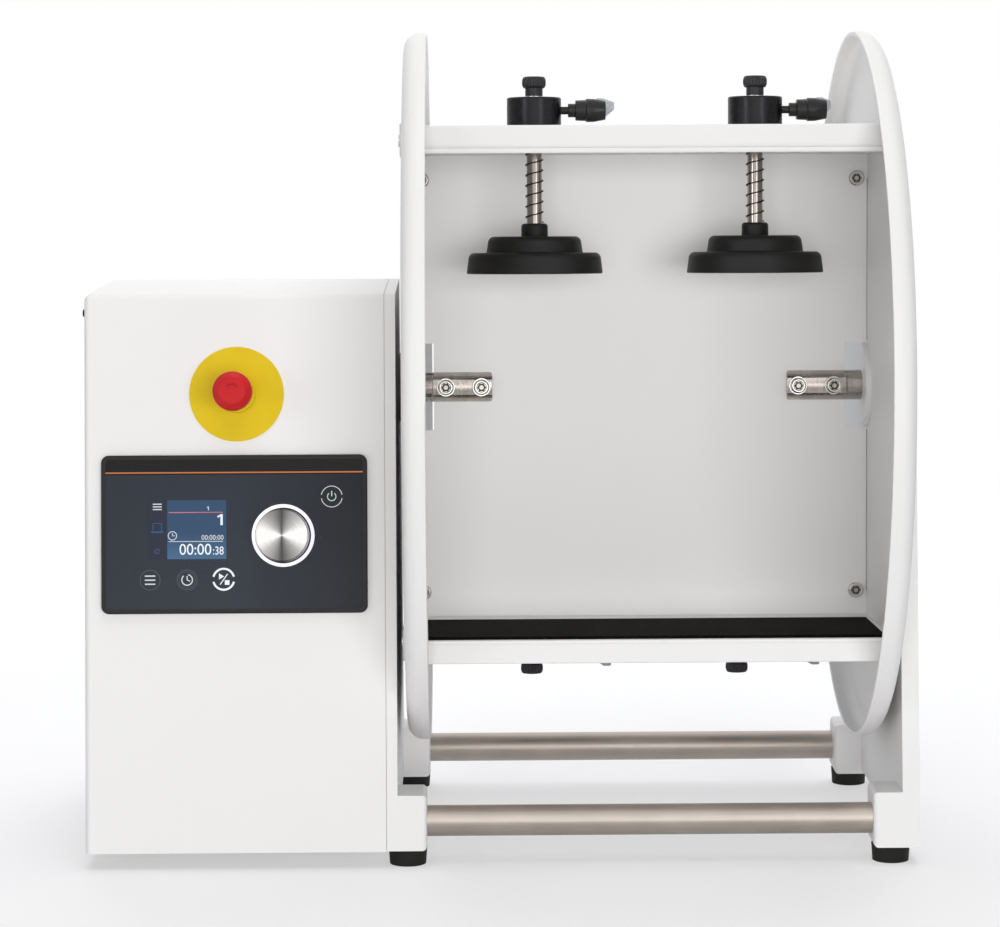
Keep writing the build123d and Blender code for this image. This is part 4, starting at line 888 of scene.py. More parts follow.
@dataclass(frozen=True)
class Printed(Finish):
    """Back-printed acrylic window under clear gloss: a dark printed field, its darkening to one
    side painted shade and reflection.
    """

    left: str
    middle: str
    right: str
    header: str
    header_height_m: float
    left_m: float
    right_m: float
    roughness: float = 0.24
    smudge_mm: float = 22.2

    def settings(self) -> dict[str, float | tuple]:
        """Acrylic gloss.

        Returns:
            Socket name to value.
        """
        return {"IOR": 1.49, "Specular IOR Level": 0.2}

    def links(self, material: bpy.types.Material, position: bpy.types.NodeSocket) -> Feeds:
        """The field's tone runs along X as painted shade, and the printed header's takes over above
        its height.

        Args:
            material: material that takes the nodes.
            position: socket that gives the place on the object.

        Returns:
            Shader socket name to the output that feeds it.
        """
        parts = add_node(material, "ShaderNodeSeparateXYZ", None, {"Vector": position})
        along = add_node(
            material,
            "ShaderNodeMapRange",
            {"From Min": self.left_m, "From Max": self.right_m},
            {"Value": parts.outputs["X"]},
        )
        # Painted shade: the field's tone falls off from left to right, as light and reflection do.
        tone = add_node(material, "ShaderNodeValToRGB", None, {"Fac": along.outputs["Result"]})
        shades = (self.left, self.middle, self.right)
        ramp_stops(tone, [(k / 2, linear(shade)) for k, shade in enumerate(shades)])
        above = add_node(
            material,
            "ShaderNodeMath",
            {1: self.header_height_m},
            {0: parts.outputs["Z"]},
            operation="GREATER_THAN",
        )
        both = add_node(
            material,
            "ShaderNodeMix",
            {"B": linear(self.header)},
            {"Factor": above.outputs[0], "A": tone.outputs["Color"]},
            data_type="RGBA",
        )
        size = {"Scale": 1 / (self.smudge_mm * MM), "Detail": 4.0}
        smudge = add_node(material, "ShaderNodeTexNoise", size, {"Vector": position})
        gloss = add_node(
            material,
            "ShaderNodeMapRange",
            {"To Min": self.roughness - 0.05, "To Max": self.roughness + 0.08},
            {"Value": smudge.outputs["Fac"]},
        )
        return {"Base Color": both.outputs["Result"], "Roughness": gloss.outputs["Result"]}


@dataclass(frozen=True)
class Lit(Finish):
    """Lit display, ring or legend: light through a diffuser that is never quite even."""

    colour: str
    edge: str
    strength: float = 1.0
    drift_mm: float = 35.7

    def settings(self) -> dict[str, float | tuple]:
        """A dark diffuser that mostly gives its own light.

        Returns:
            Socket name to value.
        """
        return {
            "Base Color": (0.01, 0.01, 0.012, 1.0),
            "Roughness": 0.3,
            "Specular IOR Level": 0.1,
            "Emission Strength": self.strength,
        }

    def links(self, material: bpy.types.Material, position: bpy.types.NodeSocket) -> Feeds:
        """Emission that drifts between two tones by a soft noise.

        Args:
            material: material that takes the nodes.
            position: socket that gives the place on the object.

        Returns:
            Shader socket name to the output that feeds it.
        """
        size = {"Scale": 1 / (self.drift_mm * MM), "Detail": 1.0}
        glow = add_node(material, "ShaderNodeTexNoise", size, {"Vector": position})
        tone = add_node(material, "ShaderNodeValToRGB", None, {"Fac": glow.outputs["Fac"]})
        ramp_stops(tone, [(0.35, linear(self.edge)), (0.65, linear(self.colour))])
        return {"Emission Color": tone.outputs["Color"]}


@dataclass(frozen=True)
class LitDisplay(Lit):
    """Colour display: brighter to its foot, with a dark strip down its left side."""

    side: str = "#2B3240"
    split_m: float = 0.0
    low_m: float = 0.0
    high_m: float = 1.0

    def links(self, material: bpy.types.Material, position: bpy.types.NodeSocket) -> Feeds:
        """Emission runs from the foot's tone to the top's, and is the side's left of a split.

        Args:
            material: material that takes the nodes.
            position: socket that gives the place on the object.

        Returns:
            Shader socket name to the output that feeds it.
        """
        parts = add_node(material, "ShaderNodeSeparateXYZ", None, {"Vector": position})
        height = add_node(
            material,
            "ShaderNodeMapRange",
            {"From Min": self.low_m, "From Max": self.high_m},
            {"Value": parts.outputs["Z"]},
        )
        tone = add_node(material, "ShaderNodeValToRGB", None, {"Fac": height.outputs["Result"]})
        foot, rest = linear(self.edge), linear(self.colour)
        ramp_stops(tone, [(0.0, foot), (0.45, rest), (1.0, rest)])
        side = add_node(
            material,
            "ShaderNodeMath",
            {1: self.split_m},
            {0: parts.outputs["X"]},
            operation="LESS_THAN",
        )
        both = add_node(
            material,
            "ShaderNodeMix",
            {"B": linear(self.side)},
            {"Factor": side.outputs[0], "A": tone.outputs["Color"]},
            data_type="RGBA",
        )
        return {"Emission Color": both.outputs["Result"]}


# ---- sub-assemblies -------------------------------------------------------------------------
# Sheet steel under baked powder: white, with a soft sheen and no sharp reflection.
POWDER_WHITE = PowderCoat("powder_coated_white_steel", "#EBEAE9")
POWDER_PANEL = PowderCoat("powder_coated_white_cover", "#EDECEB", roughness=0.38)
# Bare steels, from the long satin streaks of bar stock to the bright rod and dull zinc sheet.
SATIN_STEEL = GroundSteel(
    "ground_stainless_tube", "#C9BEB4", (60.0, 0.6, 0.6), 0.4, 0.06, patch_strength=0.18
)
TURNED_STEEL = GroundSteel(
    "milled_stainless_shaft", "#C6BDB5", (2.0, 0.5, 30.0), 0.24, 0.08, 12.0, 0.35
)
BRIGHT_STEEL = GroundSteel("polished_stainless_rod", "#A39A93", (0.4, 0.4, 30.0), 0.12, 0.04)
SPRING_STEEL = GroundSteel("drawn_spring_wire", "#3A3633", (0.3, 0.3, 0.3), 0.35)
SCREW_STEEL = GroundSteel("bright_socket_screw", "#D9D7D4", (2.0, 2.0, 2.0), 0.2, 0.05)
# Painted shade: a dark copy of the screw steel on each socket's floor, for the shade in it.
SOCKET_PAINTED_SHADE = GroundSteel("socket_floor_painted_shade", "#4A4541", (1.0, 1.0, 1.0), 0.4)
BLACK_SCREW = Moulded("blackened_screw_head", "#171617", "#242324", 0.35, 0.3, 0.01)
ZINC = GroundSteel("zinc_plated_sheet", "#B9BABC", (14.0, 14.0, 14.0), 0.4, 0.1, 9.0, 0.2)
ALUMINIUM = GroundSteel("machined_aluminium", "#C3C4C6", (0.6, 30.0, 30.0), 0.34)
# Blacks: dyed aluminium with a metallic edge, rubbers that stay matt, moulded grips between.
BLACK_ANODISED = Anodised("black_anodised_block", "#08080B")
TYRE_RUBBER = Moulded("soft_black_rubber", "#131311", "#1E1D1B", 0.6, 0.7, 0.03, specular=0.3)
PAD_RUBBER = Moulded(
    "matte_black_clamp_rubber", "#0F0E0D", "#191817", 0.5, 0.6, 0.02, specular=0.32
)
MAT_RUBBER = RibbedMat("grained_anti_slip_mat", "#080706", "#1F1D1A")
KNOB_PLASTIC = Moulded("charcoal_moulded_grip", "#1C1C20", "#2A2A2F", 0.42, 0.4, 0.015)
HUB_PLASTIC = Moulded("glossy_black_hub", "#0C0C0D", "#151517", 0.3, 0.4, 0.01)
LEVER_PLASTIC = Moulded("clear_grey_lever_arm", "#A9ABBA", "#B8BAC6", 0.28, 0.8, 0.01, clear=0.25)
BLACK_PLASTIC = Moulded("fine_grained_black_plastic", "#161617", "#222223", 0.45)
BEZEL = Moulded("dark_bezel_moulding", "#161516", "#201E20", 0.38, 0.6, 0.01, specular=0.3)
# Parts inside the housing and the coloured parts of the stop.
BOARD = Moulded("solder_masked_board", "#1C4A34", "#24563E", 0.35, 1.0, 0.01)
BUSH_PLASTIC = Moulded("acetal_bush", "#8E8A86", "#9A9693", 0.4)
STEM_PLASTIC = Moulded("grey_stop_stem", "#8B8C90", "#98999D", 0.4)
MOTOR_ENAMEL = Moulded("enamelled_motor_case", "#2E3237", "#3A3E43", 0.38, 1.2, 0.02)
YELLOW_LABEL = Moulded("satin_yellow_label", "#DDC01A", "#D8BA18", 0.45, 1.2, 0.005, specular=0.25)
RED_BUTTON = Moulded("smooth_red_button", "#C31D21", "#B9191D", 0.35, 0.8, 0.005, 14.0, 0.25)
# Painted shade: the stop's curved marks are a darker red for the shade in their grooves.
STOP_MARK_PAINTED_SHADE = Moulded("red_arrow_painted_groove_shade", "#A01A1E", "#96181C", 0.4, 0.8, 0.005, specular=0.2)
# Printed window and what shines through it: legends, lines and the ring round the dial.
# The orange line is print, yet drawn glowing: a painted glow.
PANEL_WINDOW = Printed(
    "panel_window_painted_shade", "#262C35", "#282E38", "#171A21", "#100F11", 0.2508, -0.255, -0.088
)
DISPLAY = LitDisplay(
    "lit_colour_display",
    "#33506F",
    "#4B7093",
    0.92,
    side="#2A3040",
    split_m=-0.2134,
    low_m=0.196,
    high_m=0.236,
)
RING_LIGHT = Lit("white_light_ring", "#FFFFFF", "#EFEAFF", 1.1)
LEGEND = Lit("back_lit_white_legend", "#E9EBEE", "#D7DADF", 0.95)
LEGEND_DIM = Lit("dimmed_legend", "#5E6470", "#535965", 0.8)
LEGEND_BLUE = Lit("dim_blue_side_mark", "#3E6FA8", "#356399", 0.8)
LEGEND_GLOW = Lit("bright_key_ring", "#F5FAFD", "#E6EEF5", 1.05)
LEGEND_GREEN = Lit("pale_green_power_mark", "#CFE6D6", "#BFDCC9", 0.95)
LEGEND_VIOLET = Lit("violet_side_mark", "#5D5590", "#4F487E", 0.8)
PINK_LINE = Lit("pink_screen_line", "#D97F8B", "#CC727F", 0.9)
# Painted glow: the printed orange line gives its colour as emitted light.
PAINTED_GLOW_ORANGE = Lit("painted_glow_orange_print", "#D6813F", "#D97B4A", 0.85)
SPUN_DIAL = SpunFace("spun_aluminium_dial", "#F6F4F2")

SLOTS = {
    "white_paint": POWDER_WHITE,
    "panel_paint": POWDER_PANEL,
    "brushed_steel": SATIN_STEEL,
    "shaft_steel": TURNED_STEEL,
    "polished_steel": BRIGHT_STEEL,
    "spring_steel": SPRING_STEEL,
    "screw_steel": SCREW_STEEL,
    "black_screw": BLACK_SCREW,
    "zinc_sheet": ZINC,
    "aluminium": ALUMINIUM,
    "black_anodised": BLACK_ANODISED,
    "black_rubber": TYRE_RUBBER,
    "mat_rubber": MAT_RUBBER,
    "pad_rubber": PAD_RUBBER,
    "knob_plastic": KNOB_PLASTIC,
    "lever_plastic": HUB_PLASTIC,
    "black_plastic": BLACK_PLASTIC,
    "panel_black": BEZEL,
    "panel_glass": PANEL_WINDOW,
    "screen": DISPLAY,
    "light_ring": RING_LIGHT,
    "dial_steel": SPUN_DIAL,
    "circuit_board": BOARD,
    "label_yellow": YELLOW_LABEL,
    "stem_grey": STEM_PLASTIC,
    "stop_red": RED_BUTTON,
    "bush_grey": BUSH_PLASTIC,
    "motor_paint": MOTOR_ENAMEL,
}


def dress(piece: bpy.types.Object, finish: Finish) -> bpy.types.Object:
    """Gives a piece one finish.

    Args:
        piece: object to dress.
        finish: what its surface is.

    Returns:
        The same object.
    """
    piece.data.materials.clear()
    piece.data.materials.append(finish.material())
    return piece


def merge(name: str, parts: list[tuple[bpy.types.Object, Finish]]) -> bpy.types.Object:
    """One object of several, each keeping its own finish.

    Args:
        name: name of the joined object.
        parts: objects, which are used up, and the finish of each.

    Returns:
        The joined object, its material slots in the order of the parts.
    """
    bpy.ops.object.select_all(action="DESELECT")
    for piece, finish in parts:
        piece.data.materials.clear()
        piece.data.materials.append(finish.material())
        piece.select_set(True)
    bpy.context.view_layer.objects.active = parts[0][0]
    bpy.ops.object.join()
    joined = parts[0][0]
    joined.name = name
    joined.data.name = name
    return joined


@dataclass
class Carried:
    """Every solid carried over from the model, dressed by its record slot."""

    slots: dict[str, Finish] = field(default_factory=lambda: SLOTS)

    def dress(self) -> None:
        """Walks the record's materials and gives each node the finish of its slot."""
        for node, slot in self.by_node().items():
            dress(frame["nodes"][node], self.slots[slot])

    def by_node(self) -> dict[str, str]:
        """Reads the record's subparts.

        Returns:
            Node name to slot name.
        """
        return {part["node"]: part["material_slot"] for part in frame["record"]["subparts"]}


@dataclass
class ControlPanel:
    """Front panel's printed and lit marks, in millimetres from its centre, right and up."""

    place: Placement
    line_height: float = 39.6
    half_line: float = 82.4
    mark_height: float = 0.06
    key_radius: float = 6.4
    count: int = 0

    @classmethod
    def on_glass(cls) -> "ControlPanel":
        """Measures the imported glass.

        Returns:
            Panel whose frame sits on the middle of the glass's outer face.
        """
        leaning = placement_from("dial_turn", -1.0)
        low, high = leaning.box("control_panel_glass")
        middle = (low + high) / 2
        return cls(leaning.moved(middle[0], middle[1], high[2]))

    def band(self, path: np.ndarray, width: float, finish: Finish, low: float = 0.01) -> None:
        """Lays one flat mark along a path.

        Args:
            path: points of the mark's middle line, in millimetres.
            width: width of the mark in millimetres.
            finish: what it is printed or lit with.
            low: height of its underside over the glass in millimetres.
        """
        self.count += 1
        grid = flat_band(path, width, low, low + self.mark_height) * MM
        piece = build_mesh(f"panel_mark_{self.count}", self.place.to_world(grid))
        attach(dress(piece, finish), "base")

    def bar(
        self, x_low: float, x_high: float, y: float, width: float, finish: Finish, low: float = 0.01
    ) -> None:
        """Lays one straight level mark, in millimetres.

        Args:
            x_low: its left end.
            x_high: its right end.
            y: its height on the panel.
            width: its thickness.
            finish: what it is printed or lit with.
            low: height of its underside over the glass.
        """
        middle = (x_low + x_high) / 2
        self.band(np.array([[x_low, y], [middle, y], [x_high, y]]), width, finish, low)

    def patch(self, outline: np.ndarray, finish: Finish, low: float = 0.01) -> None:
        """Lays one filled flat shape, in millimetres.

        Args:
            outline: its closed outline.
            finish: what it is printed or lit with.
            low: height of its underside over the glass.
        """
        self.count += 1
        grid = prism(outline, low, low + self.mark_height) * MM
        piece = build_mesh(f"panel_mark_{self.count}", self.place.to_world(grid))
        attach(dress(piece, finish), "base")

    def numerals(
        self,
        text: str,
        right: float,
        low: float,
        high: float,
        finish: Finish,
        squeeze: float = 1.0,
    ) -> None:
        """Sets plain figures between two heights, ending at a right edge, in millimetres.

        The text's own mesh is measured and scaled so that its height fits; its width takes the
        same scale times the squeeze.

        Args:
            text: the figures.
            right: right edge of the last one.
            low: foot of the line.
            high: top of the line.
            finish: what they are lit with.
            squeeze: share of their natural width.
        """
        self.count += 1
        curve = bpy.data.curves.new("figures", "FONT")
        curve.body = text
        curve.extrude = 0.02
        holder = bpy.data.objects.new("figures", curve)
        bpy.context.scene.collection.objects.link(holder)
        graph = bpy.context.evaluated_depsgraph_get()
        mesh = bpy.data.meshes.new_from_object(holder.evaluated_get(graph))
        bpy.data.objects.remove(holder)
        points = points_of(mesh)
        lowest, highest = points.min(0), points.max(0)
        scale = (high - low) / (highest[1] - lowest[1])
        sizes = np.array([scale * squeeze, scale, self.mark_height / (highest[2] - lowest[2])])
        corner = np.array([right - (highest[0] - lowest[0]) * scale * squeeze, low, 0.02])
        placed = self.place.to_world((corner + (points - lowest) * sizes) * MM)
        mesh.vertices.foreach_set("co", placed.reshape(-1))
        mesh.name = f"panel_figures_{self.count}"
        finish_faces(mesh)
        piece = link(mesh.name, mesh)
        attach(dress(piece, finish), "base")

    def sidebar(self) -> None:
        """Three small marks down the screen's dark side strip: bars, a frame, a dot."""
        for k in (-1, 0, 1):
            self.bar(-52.1, -46.4, 17.8 + 1.7 * k, 0.7, LEGEND)
        frame_path = np.array([[-52.0, 2.6], [-52.0, 7.2], [-46.6, 7.2], [-46.6, 2.6]])
        self.band(frame_path, 0.5, LEGEND_BLUE)
        self.bar(-53.2, -45.4, 1.6, 0.8, LEGEND_BLUE)
        self.band(arc((-49.3, -10.7), 1.4, 0, 330, 16), 0.8, LEGEND_VIOLET)

    def screen(self) -> None:
        """Lines, a clock mark and the figures of the running display."""
        self.band(np.array([[-16.5, 15.4], [-16.5, 17.9]]), 0.6, LEGEND)
        self.band(np.array([[-17.5, 17.1], [-16.6, 17.7]]), 0.45, LEGEND)
        self.bar(-42.0, -7.3, 14.1, 0.6, PINK_LINE)
        self.band(np.array([[-8.1, 5.9], [-8.1, 12.9]]), 1.5, LEGEND_GLOW)
        self.band(np.array([[-10.7, 11.1], [-8.3, 12.4]]), 1.1, LEGEND_GLOW)
        self.band(arc((-39.6, -0.8), 2.7, 0, 360, 25), 0.5, LEGEND)
        self.band(np.array([[-39.6, 1.0], [-39.6, -0.8], [-38.2, -0.8]]), 0.5, LEGEND)
        self.numerals("00:00:00", -6.9, -3.5, -0.4, LEGEND, 0.94)
        self.bar(-42.0, -7.3, -4.5, 0.4, LEGEND)
        self.numerals("00:00", -14.8, -13.0, -6.0, LEGEND_GLOW, 0.94)
        self.numerals(":38", -6.9, -13.0, -7.8, LEGEND_GLOW, 0.8)

    def keys(self) -> None:
        """Rings and marks of the four touch keys."""
        menu = (-54.0, -29.1)
        self.band(arc(menu, self.key_radius, 0, 360, 49), 0.5, LEGEND_DIM)
        for k in (-1, 0, 1):
            self.bar(menu[0] - 3.35, menu[0] + 3.35, menu[1] + 2.6 * k, 0.8, LEGEND)
        timer = (-30.3, -29.1)
        self.band(arc(timer, self.key_radius, 0, 360, 49), 0.5, LEGEND_DIM)
        self.band(arc(timer, self.key_radius - 1.2, 0, 360, 49), 0.35, LEGEND_DIM)
        self.band(arc(timer, 3.4, 130, 440, 33), 0.7, LEGEND)
        self.band(np.array([[-30.3, -26.6], [-30.3, -29.1], [-28.5, -29.9]]), 0.7, LEGEND)
        run = (-6.9, -28.8)
        self.band(arc(run, 6.7, 14, 166, 33), 1.3, LEGEND_GLOW)
        self.band(arc(run, 6.7, 194, 346, 33), 1.3, LEGEND_GLOW)
        self.patch(np.array([[-9.9, -25.0], [-9.9, -29.0], [-6.6, -27.0]]), LEGEND_GLOW)
        self.band(np.array([[-9.2, -32.2], [-6.8, -28.8], [-4.4, -25.4]]), 0.6, LEGEND_GLOW)
        square = np.array([[-6.2, -32.4], [-6.2, -29.4], [-3.2, -29.4], [-3.2, -32.4]])
        self.patch(square, LEGEND_GLOW)
        power = (62.5, 23.8)
        self.band(arc(power, 6.7, 10, 170, 33), 0.45, LEGEND)
        self.band(arc(power, 6.7, 190, 350, 33), 0.45, LEGEND)
        self.band(arc(power, 2.7, 130, 410, 33), 0.55, LEGEND_GREEN)
        self.band(np.array([[62.5, 24.0], [62.5, 27.4]]), 0.65, LEGEND_GREEN)

    def build(self) -> None:
        """Lays every mark of the panel."""
        self.bar(-self.half_line, self.half_line, self.line_height, 0.85, PAINTED_GLOW_ORANGE)
        self.sidebar()
        self.screen()
        self.keys()


@dataclass
class Dial:
    """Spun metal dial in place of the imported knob, in millimetres about its own axis."""

    segments: int = 144
    dish: float = 0.25

    def build(self) -> None:
        """Turns the dial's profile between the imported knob's limits.

        The face is a shallow dish, z = top minus dish (1 - r / R) squared, between a rounded
        edge and a plain skirt.
        """
        place = placement_from("dial_turn", -1.0)
        low, high = place.box("dial_knob")
        radius = high[0] / MM
        foot = low[2] / MM
        top = high[2] / MM
        across = np.linspace(0.2, radius - 1.2, 28)
        face = np.stack([across, top - self.dish * (1 - across / radius) ** 2], -1)
        skirt = np.array([[radius, top], [radius, foot], [radius - 1.5, foot]])
        edge = rounded(np.concatenate([face[-1:], skirt]), np.array([0, 1.1, 0.4, 0]), 6)
        profile = np.concatenate([face, edge[1:]]) * MM
        grid = place.to_world(revolve(profile, self.segments))
        piece = build_mesh("dial_spun_knob", grid)
        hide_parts("dial_knob")
        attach(dress(piece, SPUN_DIAL), "dial")


@dataclass
class EmergencyStop:
    """Curved marks on the stop button's crown, darker red as painted shade of pressed-in grooves,
    in millimetres about its axis.
    """

    mark_radius: float = 4.1
    mark_width: float = 1.2
    mark_height: float = 0.08
    spans: tuple[tuple[float, float], ...] = ((35.0, 145.0),)
    collar: tuple[float, float] = (0.02, 12.15)
    collar_height: float = 5.2
    collar_bore: float = 5.5

    def build(self) -> None:
        """Lays the curved marks on the crown."""
        place = placement_from("stop_twist", -1.0)
        top = place.box("stop_button")[1][2] / MM
        for number, (start, end) in enumerate(self.spans, 1):
            path = arc((0.0, 0.0), self.mark_radius, start, end, 25)
            grid = flat_band(path, self.mark_width, top - 0.02, top + self.mark_height) * MM
            piece = build_mesh(f"stop_turn_mark_{number}", place.to_world(grid))
            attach(dress(piece, STOP_MARK_PAINTED_SHADE), "stop_head")
        foot, rim = self.collar
        top_edge = foot + self.collar_height
        section = np.array(
            [[rim, foot], [rim + 0.1, foot], [rim, top_edge], [self.collar_bore, top_edge]]
        )
        plate = place.box("stop_label")[1][2] / MM
        line = rounded(section + np.array([0.0, plate]), np.array([0, 0, 0.8, 0])) * MM
        piece = build_mesh("stop_collar_cover", place.to_world(revolve(line, 96)), caps=False)
        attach(dress(piece, YELLOW_LABEL), "base")


@dataclass
class SpringClamp:
    """One sprung clamp: its grip, collar, spring and lever, in millimetres.

    Heights are measured from the turning axis along the clamp's own rod.
    """

    number: int
    place: Placement
    collar: tuple[float, float, float] = (8.6, 100.0, 108.4)
    neck: tuple[float, float, float] = (5.65, 190.3, 195.3)
    head: tuple[float, float, float] = (7.7, 195.3, 202.5)
    ridges: int = 26
    ridge_depth: float = 0.45
    spring: tuple[float, float, float] = (5.55, 108.7, 169.0)
    wire: float = 0.42
    travel: float = 42.0
    pitch: float = 6.8
    lever_height: float = 180.9
    neck_x: tuple[float, float] = (21.9, 26.6)
    hub_x: tuple[float, float] = (26.6, 46.1)
    arm_root: float = 39.1
    arm_flare: float = 12.0
    arm_length: float = 42.0
    arm_rise: float = 1.8
    lever_rest: float = 4.0

    @classmethod
    def from_frame(cls, number: int) -> "SpringClamp":
        """Measures one packed rod.

        Args:
            number: number of the clamp, 1 to 4.

        Returns:
            Clamp whose frame stands on its own rod's axis, Z outwards.
        """
        centre = np.array(joint("cradle_turn")["pos_m"], float)
        outward = np.array(joint(f"clamp_{number}_lift")["axis"], float)
        base = Placement(centre, np.stack([ALONG_X, np.cross(outward, ALONG_X), outward]))
        low, high = base.box(f"clamp_{number}_rod")
        middle = (low + high) / 2
        rest = 4.0 if number < 3 else 11.0
        return cls(number, base.moved(middle[0], middle[1], 0.0), lever_rest=rest)

    def grip(self) -> None:
        """Ridged knob head on a plain neck, and the round-topped collar over the pad.

        The head's ridges take depth x (1 + cos(ridges x angle)) / 2 off its barrel, fading out
        towards its two ends by the sine of the height share.
        """
        radius, low, high = self.head
        steps = np.linspace(0, 1, 13)
        barrel = radius - 1.1 * np.abs(2 * steps - 1) ** 3
        side = np.stack([barrel, low + steps * (high - low)], -1)
        peak = high + 0.3
        crown = np.array([[radius - 2.6, high + 0.25], [radius - 4.4, peak], [0.05, peak]])
        start = np.array([[self.neck[0], low]])
        profile = np.concatenate([start, side, crown]) * MM
        t = np.linspace(0, 2 * np.pi, 156, endpoint=False)
        depth = np.concatenate([[0.0], np.sin(np.pi * np.clip(steps, 0.08, 0.92)), [0.0, 0.0, 0.0]])
        flute = self.ridge_depth * depth[:, None] * (1 + np.cos(self.ridges * t))[None] / 2 * MM
        head = build_mesh("head", self.place.to_world(revolve(profile, 156, flute)))
        neck_radius, neck_low, neck_high = self.neck
        neck_top = neck_high + 0.3
        corners = np.array(
            [[0.05, neck_low], [neck_radius, neck_low], [neck_radius, neck_top], [0.05, neck_top]]
        )
        neck_line = rounded(corners, np.array([0, 0.3, 0, 0])) * MM
        neck = build_mesh("neck", self.place.to_world(revolve(neck_line, 72)))
        ring_line = np.array([[4.98, 189.35], [6.5, 189.35], [6.5, 189.95], [4.98, 189.95]]) * MM
        ring = build_mesh("ring", self.place.to_world(revolve(ring_line, 72)), Wrap.BOTH, False)
        outer, low, high = self.collar
        corners = np.array([[4.97, low], [outer, low], [outer, high], [4.97, high]])
        collar_line = rounded(corners, np.array([0, 0.3, 2.4, 0]), 9) * MM
        collar_grid = self.place.to_world(revolve(collar_line, 96))
        collar = build_mesh("collar", collar_grid, Wrap.BOTH, False)
        parts = [(head, KNOB_PLASTIC), (neck, KNOB_PLASTIC)]
        parts += [(ring, SCREW_STEEL), (collar, PAD_RUBBER)]
        piece = merge(f"clamp_{self.number}_ridged_knob_and_collar", parts)
        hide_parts(f"clamp_{self.number}_knob_and_collar")
        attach(piece, f"clamp_{self.number}_plunger")

    def coil(self) -> None:
        """Round-wire spring, drawn once at its rest length.

        The wire's centre is (R cos a, R sin a, z) with z rising one pitch a turn; its section is
        a ring in the plane of the radius and Z.
        """
        mean, low, high = self.spring
        turns = (high - low) / self.pitch
        share = np.linspace(0, 1, int(turns * 40))
        a = share * turns * 2 * np.pi
        z = low + self.wire + share * (high - low - 2 * self.wire)
        b = np.linspace(0, 2 * np.pi, 10, endpoint=False)
        radius = mean + self.wire * np.cos(b)[None]
        height = z[:, None] + self.wire * np.sin(b)[None]
        grid = np.stack([radius * np.cos(a)[:, None], radius * np.sin(a)[:, None], height], -1) * MM
        piece = build_mesh(f"clamp_{self.number}_wire_spring", self.place.to_world(grid))
        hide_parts(f"clamp_{self.number}_spring")
        dress(piece, SPRING_STEEL)
        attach(piece, "cradle")
        anchor = self.place.to_world(np.array([0.0, 0.0, high]) * MM)
        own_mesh(piece)

    def lever(self) -> None:
        """Screw, neck, stepped hub with a sunk end, and the clear paddle that trails back.

        The hub lies along X; the paddle is a wedge that runs back from it, flaring outwards,
        its section a rounded rectangle that narrows from root to tip. Both are drawn level and
        turned about X by the lever's rest angle.
        """
        turn = radians(self.lever_rest)
        spin = np.array([ALONG_X, [0.0, cos(turn), sin(turn)], [0.0, -sin(turn), cos(turn)]])
        origin = self.place.to_world(np.array([0.0, 0.0, self.lever_height]) * MM)
        turned = Placement(origin, spin @ self.place.axes)
        sideways = Placement(origin, np.roll(turned.axes, -1, axis=0))
        start, end = self.hub_x
        neck_low = self.neck_x[0]
        hub_points = np.array(
            [
                [0.05, neck_low],
                [4.4, neck_low],
                [4.4, start],
                [6.5, start],
                [6.8, start + 6.6],
                [7.5, start + 7.2],
                [7.4, start + 12.0],
                [6.0, end],
                [4.6, end],
                [4.2, end - 1.8],
                [0.05, end - 1.8],
            ]
        )
        radii = np.array([0, 0.4, 0, 0.7, 0, 0.5, 2.0, 0.7, 0.2, 0.2, 0])
        hub_line = rounded(hub_points, radii) * MM
        hub = build_mesh("hub", sideways.to_world(revolve(hub_line, 96)))
        screw_end = neck_low + 0.4
        screw_line = np.array([[0.05, 9.6], [2.5, 9.6], [2.5, screw_end], [0.05, screw_end]]) * MM
        screw = build_mesh("screw", sideways.to_world(revolve(screw_line, 48)))
        along = np.linspace(0, 1, 20)
        tip = 1 - np.clip(along * 20 - 19, 0, 1) ** 2 * 0.3
        middle_x = self.arm_root + self.arm_flare * along
        half_width = 3.0 * tip
        half_height = np.interp(along, (0.0, 0.24, 0.32, 1.0), (5.0, 5.6, 7.0, 2.7)) * tip
        corner = np.linspace(0, 2 * np.pi, 32, endpoint=False)
        square_x = np.sign(np.cos(corner)) * np.abs(np.cos(corner)) ** 0.4
        square_z = np.sign(np.sin(corner)) * np.abs(np.sin(corner)) ** 0.4
        across = middle_x[:, None] + half_width[:, None] * square_x[None]
        up = half_height[:, None] * square_z[None] + self.arm_rise * along[:, None]
        back = np.broadcast_to(self.arm_length * along[:, None], across.shape)
        arm = build_mesh("arm", turned.to_world(np.stack([across, back, up], -1) * MM))
        parts = [(hub, HUB_PLASTIC), (screw, SPRING_STEEL), (arm, LEVER_PLASTIC)]
        piece = merge(f"clamp_{self.number}_hub_and_paddle", parts)
        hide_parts(f"clamp_{self.number}_lever")
        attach(piece, f"clamp_{self.number}_handle")

    def build(self) -> None:
        """Builds the three soft-detailed pieces of the clamp."""
        self.grip()
        self.coil()
        self.lever()


